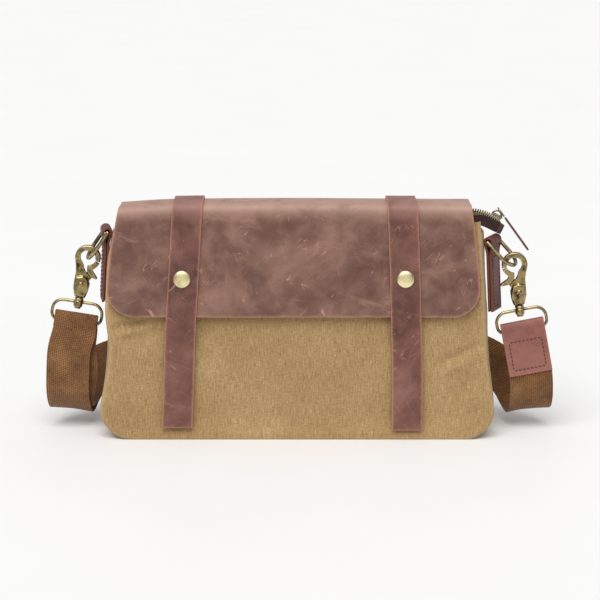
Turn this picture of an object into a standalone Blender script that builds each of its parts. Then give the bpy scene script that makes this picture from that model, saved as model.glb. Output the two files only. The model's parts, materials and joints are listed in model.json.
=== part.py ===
"""Canvas and leather messenger bag with a two-part flap, snap straps and a clip-on shoulder strap.

Frame: +X is to the right in a front view, the front faces -Y, +Z is up, and the origin is the middle of the
flat bottom. Dimensions below are in millimetres; meshes are in metres.
"""

import math

import bmesh
import bpy
from mathutils import Matrix, Vector

MM = 0.001

# Canvas body
BODY_HEIGHT = 184.0
HALF_WIDTH_BOTTOM = 164.5
HALF_WIDTH_TOP = 154.5
HALF_DEPTH_BOTTOM = 40.0
HALF_DEPTH_TOP = 18.0
CORNER_RADIUS = 22.0
CANVAS = 1.6
LINING = 0.8
GAP = 0.35
GUSSET_BULGE = 2.6
ZIP_END_Z = 174.0

# Leather
LEATHER = 2.2
FLAP_TOP_Z = 196.5
FLAP_BOTTOM_Z = 105.0
FLAP_BACK_Z = 150.0
FLAP_CLEARANCE = 2.7
FLAP_LEFT_TOP, FLAP_RIGHT_TOP = -151.0, 146.0
FLAP_LEFT_BOTTOM, FLAP_RIGHT_BOTTOM = -164.0, 155.0
FLAP_CORNER = 24.0
STRAP_WIDTH = 25.5

# Each strap: name, middle at the top fold, middle at the lower end, height of the lower end, x of its snap
STRAPS = (("left", -92.5, -102.5, 11.0, -97.8), ("right", 87.5, 92.5, 9.0, 90.6))
SNAP_Z = 136.5
SNAP_CAP_RADIUS = 7.5
# The cap's outline: rise over its rim and share of its radius
SNAP_DOME = ((0.0, 0.96), (0.7, 1.0), (1.6, 0.83), (2.4, 0.48), (2.7, 0.13))
SNAP_PLATE = 0.9
SOCKET_RADIUS = 5.8
STUD_RADII = (5.2, 4.6)

# Zip
ZIP_ROOF_Z = 192.5
ZIP_HALF_GAP = 13.5
ZIP_TAPE_HEIGHT = 10.0
ZIP_TAPE = 0.8
ZIP_TEETH_WIDTH = 2.4
ZIP_TEETH_HEIGHT = 2.0
TAIL_SLOPE = math.radians(25.0)
PULL_LEAN = math.radians(36.0)
# The pull's tab: distance from its axis, half width and half thickness
PULL_TAB = ((8.6, 2.0, 0.8), (10.5, 2.6, 0.9), (30.0, 3.2, 0.9), (41.0, 3.0, 0.9), (43.0, 1.8, 0.7))

# Metal fittings
RING_WIRE = 1.8
RING_HALF_BAR = 13.0
RING_LENGTH = 28.0
TAB_WIDTH = 24.0
TAB_LENGTH = 60.0
EYE_OUTER = 11.0
EYE_INNER = 6.9
HOOK_PIVOT = (1.0, -23.8)
HOOK_END = -35.0
LOOP_DROP = 39.5
LOOP_WIRE = 1.4
LOOP_HALF_WIDTH = 21.4
LOOP_HALF_HEIGHT = 9.0
LOOP_CROWN = 9.0
LOOP_CORNER = 6.0
WEB_WIDTH = 37.0
WEB = 1.8
PATCH_LENGTH = 43.0
LOOP_BEND = LOOP_WIRE + 0.7 + WEB / 2
# The folds round the loops stand this far above the bars, because the strap stands on the floor
FOLD_RISE = 4.8
RETURN_SHIFT = 7.0
RETURN_SPREAD = 2.0
LANE_Z = 24.0
ADJUSTER_X = -46.0
ADJUSTER_Y = 91.0
ADJUSTER_LENGTH = 30.0

# Each side: +1 right, -1 left; ring bar middle, yaw of the tab, droop of the ring, lean of the hook,
# tilt of the strap loop
SIDES = {
    "right": dict(
        sign=1, bar=(165.6, -3.5, 165.6), yaw=24.0, droop=44.0, lean=7.5, loop_tilt=11.0, thumb=13.0
    ),
    "left": dict(
        sign=-1, bar=(-163.0, -3.5, 174.2), yaw=9.0, droop=55.0, lean=13.0, loop_tilt=-9.0, thumb=10.4
    ),
}

COLOURS = {
    "canvas": ((0.40, 0.26, 0.115), 0.9, 0.0),
    "lining": ((0.20, 0.15, 0.10), 0.9, 0.0),
    "leather": ((0.20, 0.10, 0.075), 0.6, 0.0),
    "tab_leather": ((0.30, 0.10, 0.07), 0.6, 0.0),
    "webbing": ((0.28, 0.13, 0.05), 0.9, 0.0),
    "tape": ((0.05, 0.03, 0.025), 0.9, 0.0),
    "brass": ((0.42, 0.33, 0.16), 0.35, 1.0),
    "pale_brass": ((0.70, 0.58, 0.32), 0.25, 1.0),
}


def clear_scene():
    for obj in list(bpy.data.objects):
        bpy.data.objects.remove(obj)


def material_for(node, kind):
    colour, roughness, metallic = COLOURS[kind]
    material = bpy.data.materials.new(node + "_material")
    material.use_nodes = True
    shader = material.node_tree.nodes["Principled BSDF"]
    shader.inputs["Base Color"].default_value = (*colour, 1.0)
    shader.inputs["Roughness"].default_value = roughness
    shader.inputs["Metallic"].default_value = metallic
    return material


def add_joint_empty(name, place):
    empty = bpy.data.objects.new(name, None)
    empty.location = Vector(place) * MM
    bpy.context.scene.collection.objects.link(empty)
    return empty


def add_mesh(name, mesh, kind, parent=None, smooth=False):
    """Link a mesh given in world millimetres, with its origin on its parent's joint axis."""
    origin = parent.location.copy() if parent else Vector((0, 0, 0))
    mesh.transform(Matrix.Translation(-origin) @ Matrix.Scale(MM, 4))
    obj = bpy.data.objects.new(name, mesh)
    bpy.context.scene.collection.objects.link(obj)
    if parent:
        obj.parent = parent
    if kind:
        mesh.materials.append(material_for(name, kind))
    if smooth:
        mesh.shade_smooth()
        mesh.set_sharp_from_angle(angle=math.radians(40))
    return obj


def finish_bmesh(work, name):
    bmesh.ops.recalc_face_normals(work, faces=work.faces[:])
    mesh = bpy.data.meshes.new(name)
    work.to_mesh(mesh)
    work.free()
    return mesh


def loft_mesh(name, rings, closed=False, chamfer=0.0):
    """Skin rings of equally many points, with flat caps at both ends unless the loft closes on itself."""
    work = bmesh.new()
    rows = [[work.verts.new(point) for point in ring] for ring in rings]
    count = len(rows[0])
    pairs = list(zip(rows, rows[1:]))
    if closed:
        pairs.append((rows[-1], rows[0]))
    for row, following in pairs:
        for i in range(count):
            j = (i + 1) % count
            work.faces.new((row[i], row[j], following[j], following[i]))
    if not closed:
        caps = [work.faces.new(rows[0]), work.faces.new(rows[-1])]
        if chamfer:
            rims = [edge for cap in caps for edge in cap.edges]
            bmesh.ops.bevel(work, geom=rims, offset=chamfer, segments=1, affect="EDGES", clamp_overlap=True)
    bmesh.ops.triangulate(work, faces=[f for f in work.faces if len(f.verts) > 4])
    return finish_bmesh(work, name)


def add_loft(name, rings, kind, parent=None, smooth=False, closed=False):
    return add_mesh(name, loft_mesh(name, rings, closed), kind, parent, smooth)


def wire_mesh(name, points, radius, sides=10, cyclic=True):
    """A round wire through the points, made by a bevelled curve."""
    curve = bpy.data.curves.new(name + "_curve", "CURVE")
    curve.dimensions = "3D"
    curve.bevel_depth = radius
    curve.bevel_resolution = (sides - 4) // 2
    curve.use_fill_caps = not cyclic
    spline = curve.splines.new("POLY")
    spline.points.add(len(points) - 1)
    for target, point in zip(spline.points, points):
        target.co = (*point, 1.0)
    spline.use_cyclic_u = cyclic
    guide = bpy.data.objects.new(name + "_guide", curve)
    bpy.context.scene.collection.objects.link(guide)
    graph = bpy.context.evaluated_depsgraph_get()
    mesh = bpy.data.meshes.new_from_object(guide.evaluated_get(graph))
    bpy.data.objects.remove(guide)
    work = bmesh.new()
    work.from_mesh(mesh)
    bmesh.ops.remove_doubles(work, verts=work.verts[:], dist=1e-4)
    return finish_bmesh(work, name)


def join_solid(obj, other_mesh, operation):
    """Union or cut with a mesh given in world millimetres, applied at once."""
    tool = add_mesh(obj.name + "_tool", other_mesh, None)
    tool.hide_render = True
    tool.display_type = "WIRE"
    modifier = obj.modifiers.new(operation.lower(), "BOOLEAN")
    modifier.operation = operation
    modifier.solver = "EXACT"
    modifier.object = tool
    bpy.context.view_layer.update()
    graph = bpy.context.evaluated_depsgraph_get()
    result = bpy.data.meshes.new_from_object(obj.evaluated_get(graph))
    obj.modifiers.remove(modifier)
    old = obj.data
    obj.data = result
    bpy.data.meshes.remove(old)
    bpy.data.objects.remove(tool)


def arc(centre, radius, start, end, count):
    """Points on an arc, in degrees, as (across, up) pairs."""
    found = []
    for i in range(count):
        angle = math.radians(start + (end - start) * i / (count - 1))
        found.append((centre[0] + radius * math.cos(angle), centre[1] + radius * math.sin(angle)))
    return found


def smooth_route(stations, steps):
    """Catmull-Rom through stations of any number of coordinates."""
    padded = [stations[0], *stations, stations[-1]]
    found = []
    for a, b, c, d in zip(padded, padded[1:], padded[2:], padded[3:]):
        for i in range(steps):
            t = i / steps
            place = []
            for p, q, r, s in zip(a, b, c, d):
                bend = (2 * p - 5 * q + 4 * r - s) * t**2 + (3 * q - p - 3 * r + s) * t**3
                place.append(0.5 * (2 * q + (r - p) * t + bend))
            found.append(tuple(place))
    found.append(tuple(stations[-1]))
    return found


# ---------------------------------------------------------------- canvas body


def half_depth(z):
    return HALF_DEPTH_BOTTOM + (HALF_DEPTH_TOP - HALF_DEPTH_BOTTOM) * z / BODY_HEIGHT


def half_width(z):
    return HALF_WIDTH_BOTTOM + (HALF_WIDTH_TOP - HALF_WIDTH_BOTTOM) * z / BODY_HEIGHT


def body_outline(inset=0.0, right_top=BODY_HEIGHT, per_corner=7):
    """The U of the front view, from the upper left corner down, along the bottom and up again."""
    radius = CORNER_RADIUS - inset
    side = half_width(CORNER_RADIUS) - inset
    left = arc((-side + radius, CORNER_RADIUS), radius, 180, 270, per_corner)
    right = arc((side - radius, CORNER_RADIUS), radius, 270, 360, per_corner)
    shares = (0.25, 0.5, 0.75, 1.0)
    down = [(inset - half_width(share * BODY_HEIGHT), share * BODY_HEIGHT) for share in reversed(shares)]
    up = [(half_width(share * right_top) - inset, share * right_top) for share in shares]
    return down + left + right + up


def add_panel(name, side, kind="canvas"):
    """A flat panel that leans inward, side -1 in front and +1 behind."""
    outline = body_outline()
    outer = [(x, side * half_depth(z), z) for x, z in outline]
    inner = [(x, side * (half_depth(z) - CANVAS), z) for x, z in outline]
    return add_loft(name, [outer, inner], kind)


def add_gusset():
    """The strip that runs down one side, under the bag and up the other."""
    across = 6
    outline = body_outline(0.0, ZIP_END_Z)
    inside = body_outline(CANVAS, ZIP_END_Z)
    rings = []
    for (x, z), (x_in, z_in) in zip(outline, inside):
        reach = half_depth(z) - CANVAS - GAP
        swell = GUSSET_BULGE * min(1.0, max(0.0, (z - 6.0) / 40.0))
        sign = math.copysign(1.0, x)
        outer, inner = [], []
        for i in range(across + 1):
            share = 2.0 * i / across - 1.0
            bulge = sign * swell * (1.0 - share**2)
            outer.append((x + bulge, share * reach, z))
            inner.append((x_in + bulge, share * reach, z_in))
        rings.append(outer + inner[::-1])
    return add_loft("side_gusset", rings, "canvas")


def pouch_ring(z, inset, per_corner=4, corner=6.0):
    """A rounded rectangle at height z, inside the body's outline."""
    if z < CORNER_RADIUS:
        radius = CORNER_RADIUS - inset
        rise = CORNER_RADIUS - z
        reach = half_width(CORNER_RADIUS) - CORNER_RADIUS
        wide = reach + math.sqrt(max(0.0, radius**2 - rise**2))
    else:
        wide = half_width(z) - inset
    deep = half_depth(z) - inset
    found = []
    for sx, sy, start in ((1, 1, 0), (-1, 1, 90), (-1, -1, 180), (1, -1, 270)):
        centre = (sx * (wide - corner), sy * (deep - corner))
        found += [(x, y, z) for x, y in arc(centre, corner, start, start + 90, per_corner)]
    return found


def add_lining():
    """The cloth pouch sewn inside, open at the mouth."""
    outer = CANVAS + GAP
    inner = outer + LINING
    low = outer
    levels = (low + 0.5, 5.0, 10.0, 22.0, 60.0, 120.0, ZIP_END_Z)
    rings = [pouch_ring(z, outer) for z in levels]
    rings += [pouch_ring(z, inner) for z in reversed(levels[1:])]
    rings.append(pouch_ring(low + 0.5 + LINING, inner))
    return add_loft("lining_pouch", rings, "lining")


# ---------------------------------------------------------------- flap and its straps


def front_line(z, out):
    """Distance forward of the leaning front panel, out beyond it."""
    return -half_depth(z) - out


def flap_out(layer):
    """Inner and outer distance from the canvas of leather layer 0, the flap, or 1, a strap."""
    inner = FLAP_CLEARANCE + layer * (LEATHER + GAP)
    return inner, inner + LEATHER


def layer_heights(layer):
    low = FLAP_TOP_Z + layer * (LEATHER + GAP)
    return low, low + LEATHER


FOLD_Z = layer_heights(1)[1]
FRONT_FOLD_Y = front_line(FOLD_Z, flap_out(1)[1])
BACK_FOLD_Y = -front_line(FOLD_Z, GAP + 2 * LEATHER + GAP)
MITRE_GAP = 0.5


def front_mitre(out):
    """Height where the leaning layer meets the plane that halves the front fold."""
    slope = (HALF_DEPTH_TOP - HALF_DEPTH_BOTTOM) / BODY_HEIGHT
    return (FOLD_Z + FRONT_FOLD_Y + HALF_DEPTH_BOTTOM + out - MITRE_GAP) / (1.0 - slope)


def back_mitre(out):
    slope = (HALF_DEPTH_TOP - HALF_DEPTH_BOTTOM) / BODY_HEIGHT
    return (HALF_DEPTH_BOTTOM + out - BACK_FOLD_Y + FOLD_Z - MITRE_GAP) / (1.0 - slope)


def top_slab(left, right, layer):
    """Rings of the level piece between the two folds; left and right are x at the back and the front."""
    low, high = layer_heights(layer)
    rings = []
    for x in (left, right):
        rings.append(
            [
                (x, FRONT_FOLD_Y + (FOLD_Z - low) + MITRE_GAP, low),
                (x, FRONT_FOLD_Y + (FOLD_Z - high) + MITRE_GAP, high),
                (x, BACK_FOLD_Y - (FOLD_Z - high) - MITRE_GAP, high),
                (x, BACK_FOLD_Y - (FOLD_Z - low) - MITRE_GAP, low),
            ]
        )
    return rings


def flap_x(z, side):
    share = (FOLD_Z - z) / (FOLD_Z - FLAP_BOTTOM_Z)
    if side < 0:
        return FLAP_LEFT_TOP + (FLAP_LEFT_BOTTOM - FLAP_LEFT_TOP) * share
    return FLAP_RIGHT_TOP + (FLAP_RIGHT_BOTTOM - FLAP_RIGHT_TOP) * share


def add_flap(joint_top, joint_front):
    inner, outer = flap_out(0)
    rings = []
    for out in (outer, inner):
        top = front_mitre(out)
        corner_z = FLAP_BOTTOM_Z + FLAP_CORNER
        left = arc((flap_x(corner_z, -1) + FLAP_CORNER, corner_z), FLAP_CORNER, 180, 270, 7)
        right = arc((flap_x(corner_z, 1) - FLAP_CORNER, corner_z), FLAP_CORNER, 270, 360, 7)
        outline = [(flap_x(top, -1), top)] + left + right + [(flap_x(top, 1), top)]
        rings.append([(x, front_line(z, out), z) for x, z in outline])
    add_loft("flap_front", rings, "leather", joint_front)
    add_loft("flap_top", top_slab(FLAP_LEFT_TOP, FLAP_RIGHT_TOP, 0), "leather", joint_top)
    rings = []
    for out in (GAP + LEATHER, GAP):
        top = back_mitre(out)
        corners = (
            (FLAP_LEFT_TOP, top),
            (FLAP_LEFT_TOP, FLAP_BACK_Z),
            (FLAP_RIGHT_TOP, FLAP_BACK_Z),
            (FLAP_RIGHT_TOP, top),
        )
        rings.append([(x, -front_line(z, out), z) for x, z in corners])
    add_loft("flap_back", rings, "leather")


def add_flap_strap(name, top_x, end_x, end_z, joint_top, joint_front):
    """One of the two straps over the flap, in three pieces at the two folds."""
    half = STRAP_WIDTH / 2
    inner, outer = flap_out(1)
    rings = []
    for out in (outer, inner):
        top = front_mitre(out)
        corners = ((top_x - half, top), (end_x - half, end_z), (end_x + half, end_z), (top_x + half, top))
        rings.append([(x, front_line(z, out), z) for x, z in corners])
    add_loft(f"strap_{name}_front", rings, "leather", joint_front)
    add_loft(f"strap_{name}_top", top_slab(top_x - half, top_x + half, 1), "leather", joint_top)
    rings = []
    for out in (2 * (GAP + LEATHER), 2 * GAP + LEATHER):
        top = back_mitre(out)
        corners = (
            (top_x - half, top),
            (top_x - half, FLAP_BACK_Z + 6),
            (top_x + half, FLAP_BACK_Z + 6),
            (top_x + half, top),
        )
        rings.append([(x, -front_line(z, out), z) for x, z in corners])
    add_loft(f"strap_{name}_back", rings, "leather")


def turned(profile, centre, lean, sides=20):
    """Rings of a turned piece; profile pairs are (distance out along -Y, radius), lean tips the axis up."""
    rings = []
    turn = Matrix.Rotation(lean, 3, "X")
    for out, radius in profile:
        ring = []
        for i in range(sides):
            angle = 2 * math.pi * i / sides
            spot = turn @ Vector((radius * math.cos(angle), -out, radius * math.sin(angle)))
            ring.append(tuple(Vector(centre) + spot))
        rings.append(ring)
    return rings


def add_snaps(joint_front):
    """Cap on the strap, socket under the flap and stud on the canvas, one above the other."""
    lean = math.atan2(HALF_DEPTH_BOTTOM - HALF_DEPTH_TOP, BODY_HEIGHT)
    for name, _, _, _, x in STRAPS:
        centre = (x, -half_depth(SNAP_Z), SNAP_Z)
        face = flap_out(1)[1] + GAP
        cap = [(face + rise, SNAP_CAP_RADIUS * share) for rise, share in SNAP_DOME]
        add_loft(f"snap_cap_{name}", turned(cap, centre, -lean), "pale_brass", joint_front, True)
        top = FLAP_CLEARANCE - GAP
        socket = ((top - SNAP_PLATE, SOCKET_RADIUS), (top, SOCKET_RADIUS))
        add_loft(f"snap_socket_{name}", turned(socket, centre, -lean), "brass", joint_front, True)
        stud = ((GAP, STUD_RADII[0]), (top - GAP - SNAP_PLATE, STUD_RADII[1]))
        add_loft(f"snap_stud_{name}", turned(stud, centre, -lean), "brass", None, True)


# ---------------------------------------------------------------- zip


def zip_stations(side):
    """Middle of the tape from the left end to the tail, as x, y, z and the slope of the tape."""
    tape_z = ZIP_ROOF_Z - 2.6 - ZIP_TEETH_HEIGHT - ZIP_TAPE_HEIGHT / 2
    droop = math.tan(TAIL_SLOPE)
    end = 13.5
    return smooth_route(
        [
            (-140.0, side * ZIP_HALF_GAP, tape_z, 0.0),
            (-40.0, side * ZIP_HALF_GAP, tape_z, 0.0),
            (60.0, side * ZIP_HALF_GAP, tape_z, 0.0),
            (130.0, side * ZIP_HALF_GAP, tape_z, 0.0),
            (148.0, side * (ZIP_HALF_GAP - 4.5), tape_z + 1.2, 0.35 * TAIL_SLOPE),
            (157.0, side * 4.2, tape_z + 0.4, TAIL_SLOPE),
            (157.0 + end, side * 3.2, tape_z + 0.4 - end * droop, TAIL_SLOPE),
        ],
        4,
    )


def strip(stations, low, high, thickness):
    """Rings of a strip on edge, from low to high beside its middle line."""
    rings = []
    for x, y, z, slope in stations:
        up = Vector((math.sin(slope), 0, math.cos(slope)))
        middle = Vector((x, y, z))
        ring = []
        for height, across in ((low, -1), (low, 1), (high, 1), (high, -1)):
            ring.append(tuple(middle + up * height + Vector((0, across * thickness / 2, 0))))
        rings.append(ring)
    return rings


def add_zip(joint_slider, joint_pull):
    half = ZIP_TAPE_HEIGHT / 2
    for name, side in (("front", -1), ("back", 1)):
        stations = zip_stations(side)
        add_loft(f"zip_tape_{name}", strip(stations, -half, half, ZIP_TAPE), "tape")
        teeth = strip(stations, half + 0.3, half + 0.3 + ZIP_TEETH_HEIGHT, ZIP_TEETH_WIDTH)
        add_loft(f"zip_teeth_{name}", teeth, "brass")
    x, _, z, slope = zip_stations(-1)[-1]
    tip = Vector((x, 0, z))
    along = Vector((math.cos(slope), 0, -math.sin(slope)))
    up = Vector((math.sin(slope), 0, math.cos(slope)))

    def block(start, end, low, high, wide):
        spots = ((low, -wide), (low, wide), (high, wide), (high, -wide))
        corners = [up * h + Vector((0, w, 0)) for h, w in spots]
        return [[tuple(tip + along * s + corner) for corner in corners] for s in (start, end)]

    add_loft("zip_tail_end", block(0.4, 5.0, -half, half - 1.5, 5.0), "tab_leather")
    ridge = half + 0.3 + ZIP_TEETH_HEIGHT
    slider = add_loft("zip_slider", block(-9.5, -0.5, ridge + 0.3, ridge + 1.7, 4.6), "brass", joint_slider)
    join_solid(slider, loft_mesh("pillar", block(-2.6, -0.8, half - 2.4, ridge + 1.0, 1.2)), "UNION")
    join_solid(slider, loft_mesh("keel", block(-9.5, -0.6, half - 2.6, half - 1.2, 2.1)), "UNION")
    bridge = [tuple(tip + along * a + up * b) for a, b in arc((-5.5, ridge + 1.0), 4.0, 0, 180, 11)]
    join_solid(slider, wire_mesh("bridge", bridge, 0.8, 8, False), "UNION")
    hang = Vector(joint_pull.location) / MM
    pull_way = Vector((math.sin(PULL_LEAN), 0, -math.cos(PULL_LEAN)))
    pull_out = Vector((math.cos(PULL_LEAN), 0, math.sin(PULL_LEAN)))
    ring = []
    for a, b in arc((0, 0), 1.0, 0, 360, 19)[:-1]:
        ring.append(tuple(hang + pull_way * (2.6 + 4.4 * a) + Vector((0, 4.0 * b, 0))))
    add_mesh("zip_pull_ring", wire_mesh("zip_pull_ring", ring, 0.75, 8), "brass", joint_pull, True)
    rings = []
    for s, wide, thick in PULL_TAB:
        middle = hang + pull_way * s
        corners = ((-wide, -thick), (wide, -thick), (wide, thick), (-wide, thick))
        rings.append([tuple(middle + Vector((0, a, 0)) + pull_out * b) for a, b in corners])
    add_loft("zip_pull_tab", rings, "tab_leather", joint_pull)


# ---------------------------------------------------------------- side fittings


class Side:
    """Places and directions of the fittings on one side of the bag."""

    def __init__(self, name):
        data = SIDES[name]
        yaw = math.radians(data["yaw"])
        droop = math.radians(data["droop"])
        lean = math.radians(data["lean"])
        tilt = math.radians(data["loop_tilt"])
        self.name = name
        self.sign = data["sign"]
        self.thumb = data["thumb"]
        self.bar = Vector(data["bar"])
        self.bar_way = Vector((self.sign * math.sin(yaw), math.cos(yaw), 0))
        self.outward = Vector((self.sign * math.cos(yaw), -math.sin(yaw), 0))
        self.ring_way = self.outward * math.cos(droop) - Vector((0, 0, math.sin(droop)))
        self.eye = self.bar + self.ring_way * RING_LENGTH
        self.down = Vector((self.sign * math.sin(lean), 0, -math.cos(lean)))
        self.across = Vector((self.sign * math.cos(lean), 0, math.sin(lean)))
        self.pivot = self.hook_point(*HOOK_PIVOT)
        self.loop_across = Vector((math.cos(tilt), 0, math.sin(tilt)))
        self.loop_down = Vector((math.sin(tilt), 0, -math.cos(tilt)))
        self.loop_top = self.eye + self.down * LOOP_DROP
        self.loop_bar = self.loop_top + self.loop_down * (2 * LOOP_HALF_HEIGHT)
        self.fold = self.loop_bar - self.loop_down * FOLD_RISE

    def hook_point(self, out, up, y=0.0):
        return self.eye + self.across * out - self.down * up + Vector((0, y, 0))


def hook_prism(side, outline, half_thickness, chamfer=0.8):
    """An outline of the hook's front view made solid, with chamfered edges front and back."""
    rings = []
    for y in (-half_thickness, half_thickness):
        rings.append([tuple(side.hook_point(out, up, y)) for out, up in outline])
    return loft_mesh("hook_prism", rings, chamfer=chamfer)


def add_ring(side, joint):
    """A D ring: a straight bar through the tab and a round bow."""
    arm = RING_LENGTH - RING_HALF_BAR
    flat = [(-RING_HALF_BAR, 0.0), (0.0, 0.0), (RING_HALF_BAR, 0.0), (RING_HALF_BAR, arm * 0.5)]
    flat += arc((0.0, arm), RING_HALF_BAR, 0, 180, 13)
    flat += [(-RING_HALF_BAR, arm * 0.5)]
    points = [tuple(side.bar + side.bar_way * a + side.ring_way * b) for a, b in flat]
    mesh = wire_mesh("ring", points, RING_WIRE, 10)
    add_mesh(f"d_ring_{side.name}", mesh, "brass", joint, True)


def add_tab(side):
    """The leather tab, folded over the ring's bar and sewn flat to the gusset below it."""
    lean = math.atan2(HALF_WIDTH_BOTTOM - HALF_WIDTH_TOP, BODY_HEIGHT)
    down = (side.outward * math.sin(lean) - Vector((0, 0, math.cos(lean)))).normalized()
    thick = 2.4
    outline = arc((0, 0), 4.6, -25, 205, 11)
    outline += [(-thick, -8.0), (-thick, -TAB_LENGTH), (thick, -TAB_LENGTH), (thick, -8.0)]

    def prism(points, half):
        rings = []
        for along in (-half, half):
            rings.append(
                [tuple(side.bar + side.bar_way * along + side.outward * a - down * b) for a, b in points]
            )
        return loft_mesh("tab", rings)

    tab = add_mesh(f"side_tab_{side.name}", prism(outline, TAB_WIDTH / 2 - 1.0), "tab_leather")
    join_solid(tab, prism(arc((0, 0), RING_WIRE + 0.5, 0, 345, 16), TAB_WIDTH), "DIFFERENCE")


def add_hook(side, joint_hook, joint_trigger):
    bow = arc((0, 0), EYE_OUTER, 190, -38, 20)
    inner = arc((0, 0), EYE_INNER, -72, 190, 20)
    barrel = [(7.0, -13.5), (7.4, -18.0), (7.2, -27.0), (5.2, -33.0), (4.4, HOOK_END)]
    barrel += [(-4.4, HOOK_END), (-5.2, -33.0), (-6.2, -28.5), (-6.4, -23.0), (-4.6, -17.8), (-0.6, -12.6)]
    outline = bow + barrel + [(2.0, -10.2)] + inner
    hook = add_mesh(f"hook_body_{side.name}", hook_prism(side, outline, 2.6), "brass", joint_hook)
    boss = [(6.6, -18.0), (6.6, -27.0), (4.8, -32.5), (4.0, HOOK_END + 0.7)]
    boss += [(-4.0, HOOK_END + 0.7), (-4.8, -32.5), (-5.6, -28.0), (-5.8, -23.0), (-4.2, -18.2), (1.0, -15.8)]
    join_solid(hook, hook_prism(side, boss, 4.4, 1.2), "UNION")
    slot = [(-14.0, -33.0), (-14.0, -10.0), (0.2, -9.0), (1.6, -12.0)]
    slot += [(6.2, -19.5), (6.2, -28.5), (2.0, -31.5)]
    join_solid(hook, hook_prism(side, slot, 1.6, 0), "DIFFERENCE")
    hole = arc(HOOK_PIVOT, 1.9, 0, 345, 16)
    join_solid(hook, hook_prism(side, hole, 9.0, 0), "DIFFERENCE")

    gate = arc((0, 0), EYE_OUTER, 196, 240, 6)
    gate += [(-7.4, -12.2), (-side.thumb, -14.6), (-side.thumb - 1.2, -16.0), (-side.thumb, -17.0)]
    gate += [(-7.6, -16.6), (-5.6, -16.4), (-1.6, -11.9)]
    gate += arc((0, 0), EYE_INNER, 262, 196, 8)
    trigger = add_mesh(f"hook_trigger_{side.name}", hook_prism(side, gate, 2.5, 0.7), "brass", joint_trigger)
    tongue = [(-6.8, -11.5), (-3.6, -10.4), (0.0, -13.6), (4.0, -20.5), (4.4, -24.5)]
    tongue += [(1.2, -27.4), (-2.4, -26.2), (-3.6, -22.5), (-7.2, -15.6)]
    join_solid(trigger, hook_prism(side, tongue, 1.25, 0), "UNION")
    join_solid(trigger, hook_prism(side, arc(HOOK_PIVOT, 1.9, 0, 345, 16), 9.0, 0), "DIFFERENCE")

    head = [(5.6, 1.2), (5.2, 2.2), (4.75, 2.7), (4.7, 1.5)]
    rivet = [(-y, radius) for y, radius in head] + head[::-1]
    rings = []
    for y, radius in rivet:
        rings.append([tuple(side.hook_point(a, b, y)) for a, b in arc(HOOK_PIVOT, radius, 0, 337.5, 16)])
    add_loft(f"hook_rivet_{side.name}", rings, "pale_brass", joint_hook, True)


def axis_rings(start_point, way, stations, sides=16):
    """Rings of a turned piece along a direction in the front plane."""
    across = Vector((0, 1, 0)).cross(way).normalized()
    rings = []
    for s, radius in stations:
        middle = start_point + way * s
        ring = []
        for i in range(sides):
            angle = 2 * math.pi * i / sides
            spot = across * math.cos(angle) + Vector((0, math.sin(angle), 0))
            ring.append(tuple(middle + spot * radius))
        rings.append(ring)
    return rings


def add_strap_loop(side, joint):
    """The arched loop that holds the webbing, with the swivel post that turns in the hook."""
    a, b = LOOP_HALF_WIDTH, LOOP_HALF_HEIGHT
    flat = arc((a - LOOP_CROWN, b - LOOP_CROWN), LOOP_CROWN, 0, 90, 7)
    flat += arc((LOOP_CROWN - a, b - LOOP_CROWN), LOOP_CROWN, 90, 180, 7)
    flat += arc((LOOP_CORNER - a, LOOP_CORNER - b), LOOP_CORNER, 180, 270, 5)
    flat += arc((a - LOOP_CORNER, LOOP_CORNER - b), LOOP_CORNER, 270, 360, 5)
    middle = side.loop_top + side.loop_down * LOOP_HALF_HEIGHT
    points = [tuple(middle + side.loop_across * x - side.loop_down * z) for x, z in flat]
    mesh = wire_mesh("loop", points, LOOP_WIRE, 10)
    loop = add_mesh(f"strap_loop_{side.name}", mesh, "brass", joint, True)
    start = side.eye - side.down * (HOOK_END - GAP)
    length = LOOP_DROP + HOOK_END
    collar = [(0.0, 3.2), (0.8, 4.0), (2.0, 4.0), (2.3, 3.1), (2.7, 3.1), (3.1, 3.9)]
    foot = [(length + 3.4, 3.9), (length + 3.9, 2.9), (length + 5.4, 2.7)]
    join_solid(loop, loft_mesh("post", axis_rings(start, side.down, collar + foot)), "UNION")


# ---------------------------------------------------------------- shoulder strap


def add_patch(side, joint):
    """The leather end piece, folded over the loop's bar with the webbing's end between its layers."""
    inner = LOOP_WIRE + 0.5
    outer = inner + 2.0
    half = WEB_WIDTH / 2 + 0.1
    section = arc((0, 0), outer, 180, 0, 9) + [(outer, -PATCH_LENGTH), (inner, -PATCH_LENGTH)]
    section += arc((0, 0), inner, 0, 180, 9) + [(-inner, -PATCH_LENGTH), (-outer, -PATCH_LENGTH)]
    rings = []
    for across in (-half, half):
        middle = side.fold + side.loop_across * across
        rings.append([tuple(middle + Vector((0, y, 0)) - side.loop_down * up) for y, up in section])
    add_loft("strap_end_leather", rings, "tab_leather", joint)


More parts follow.
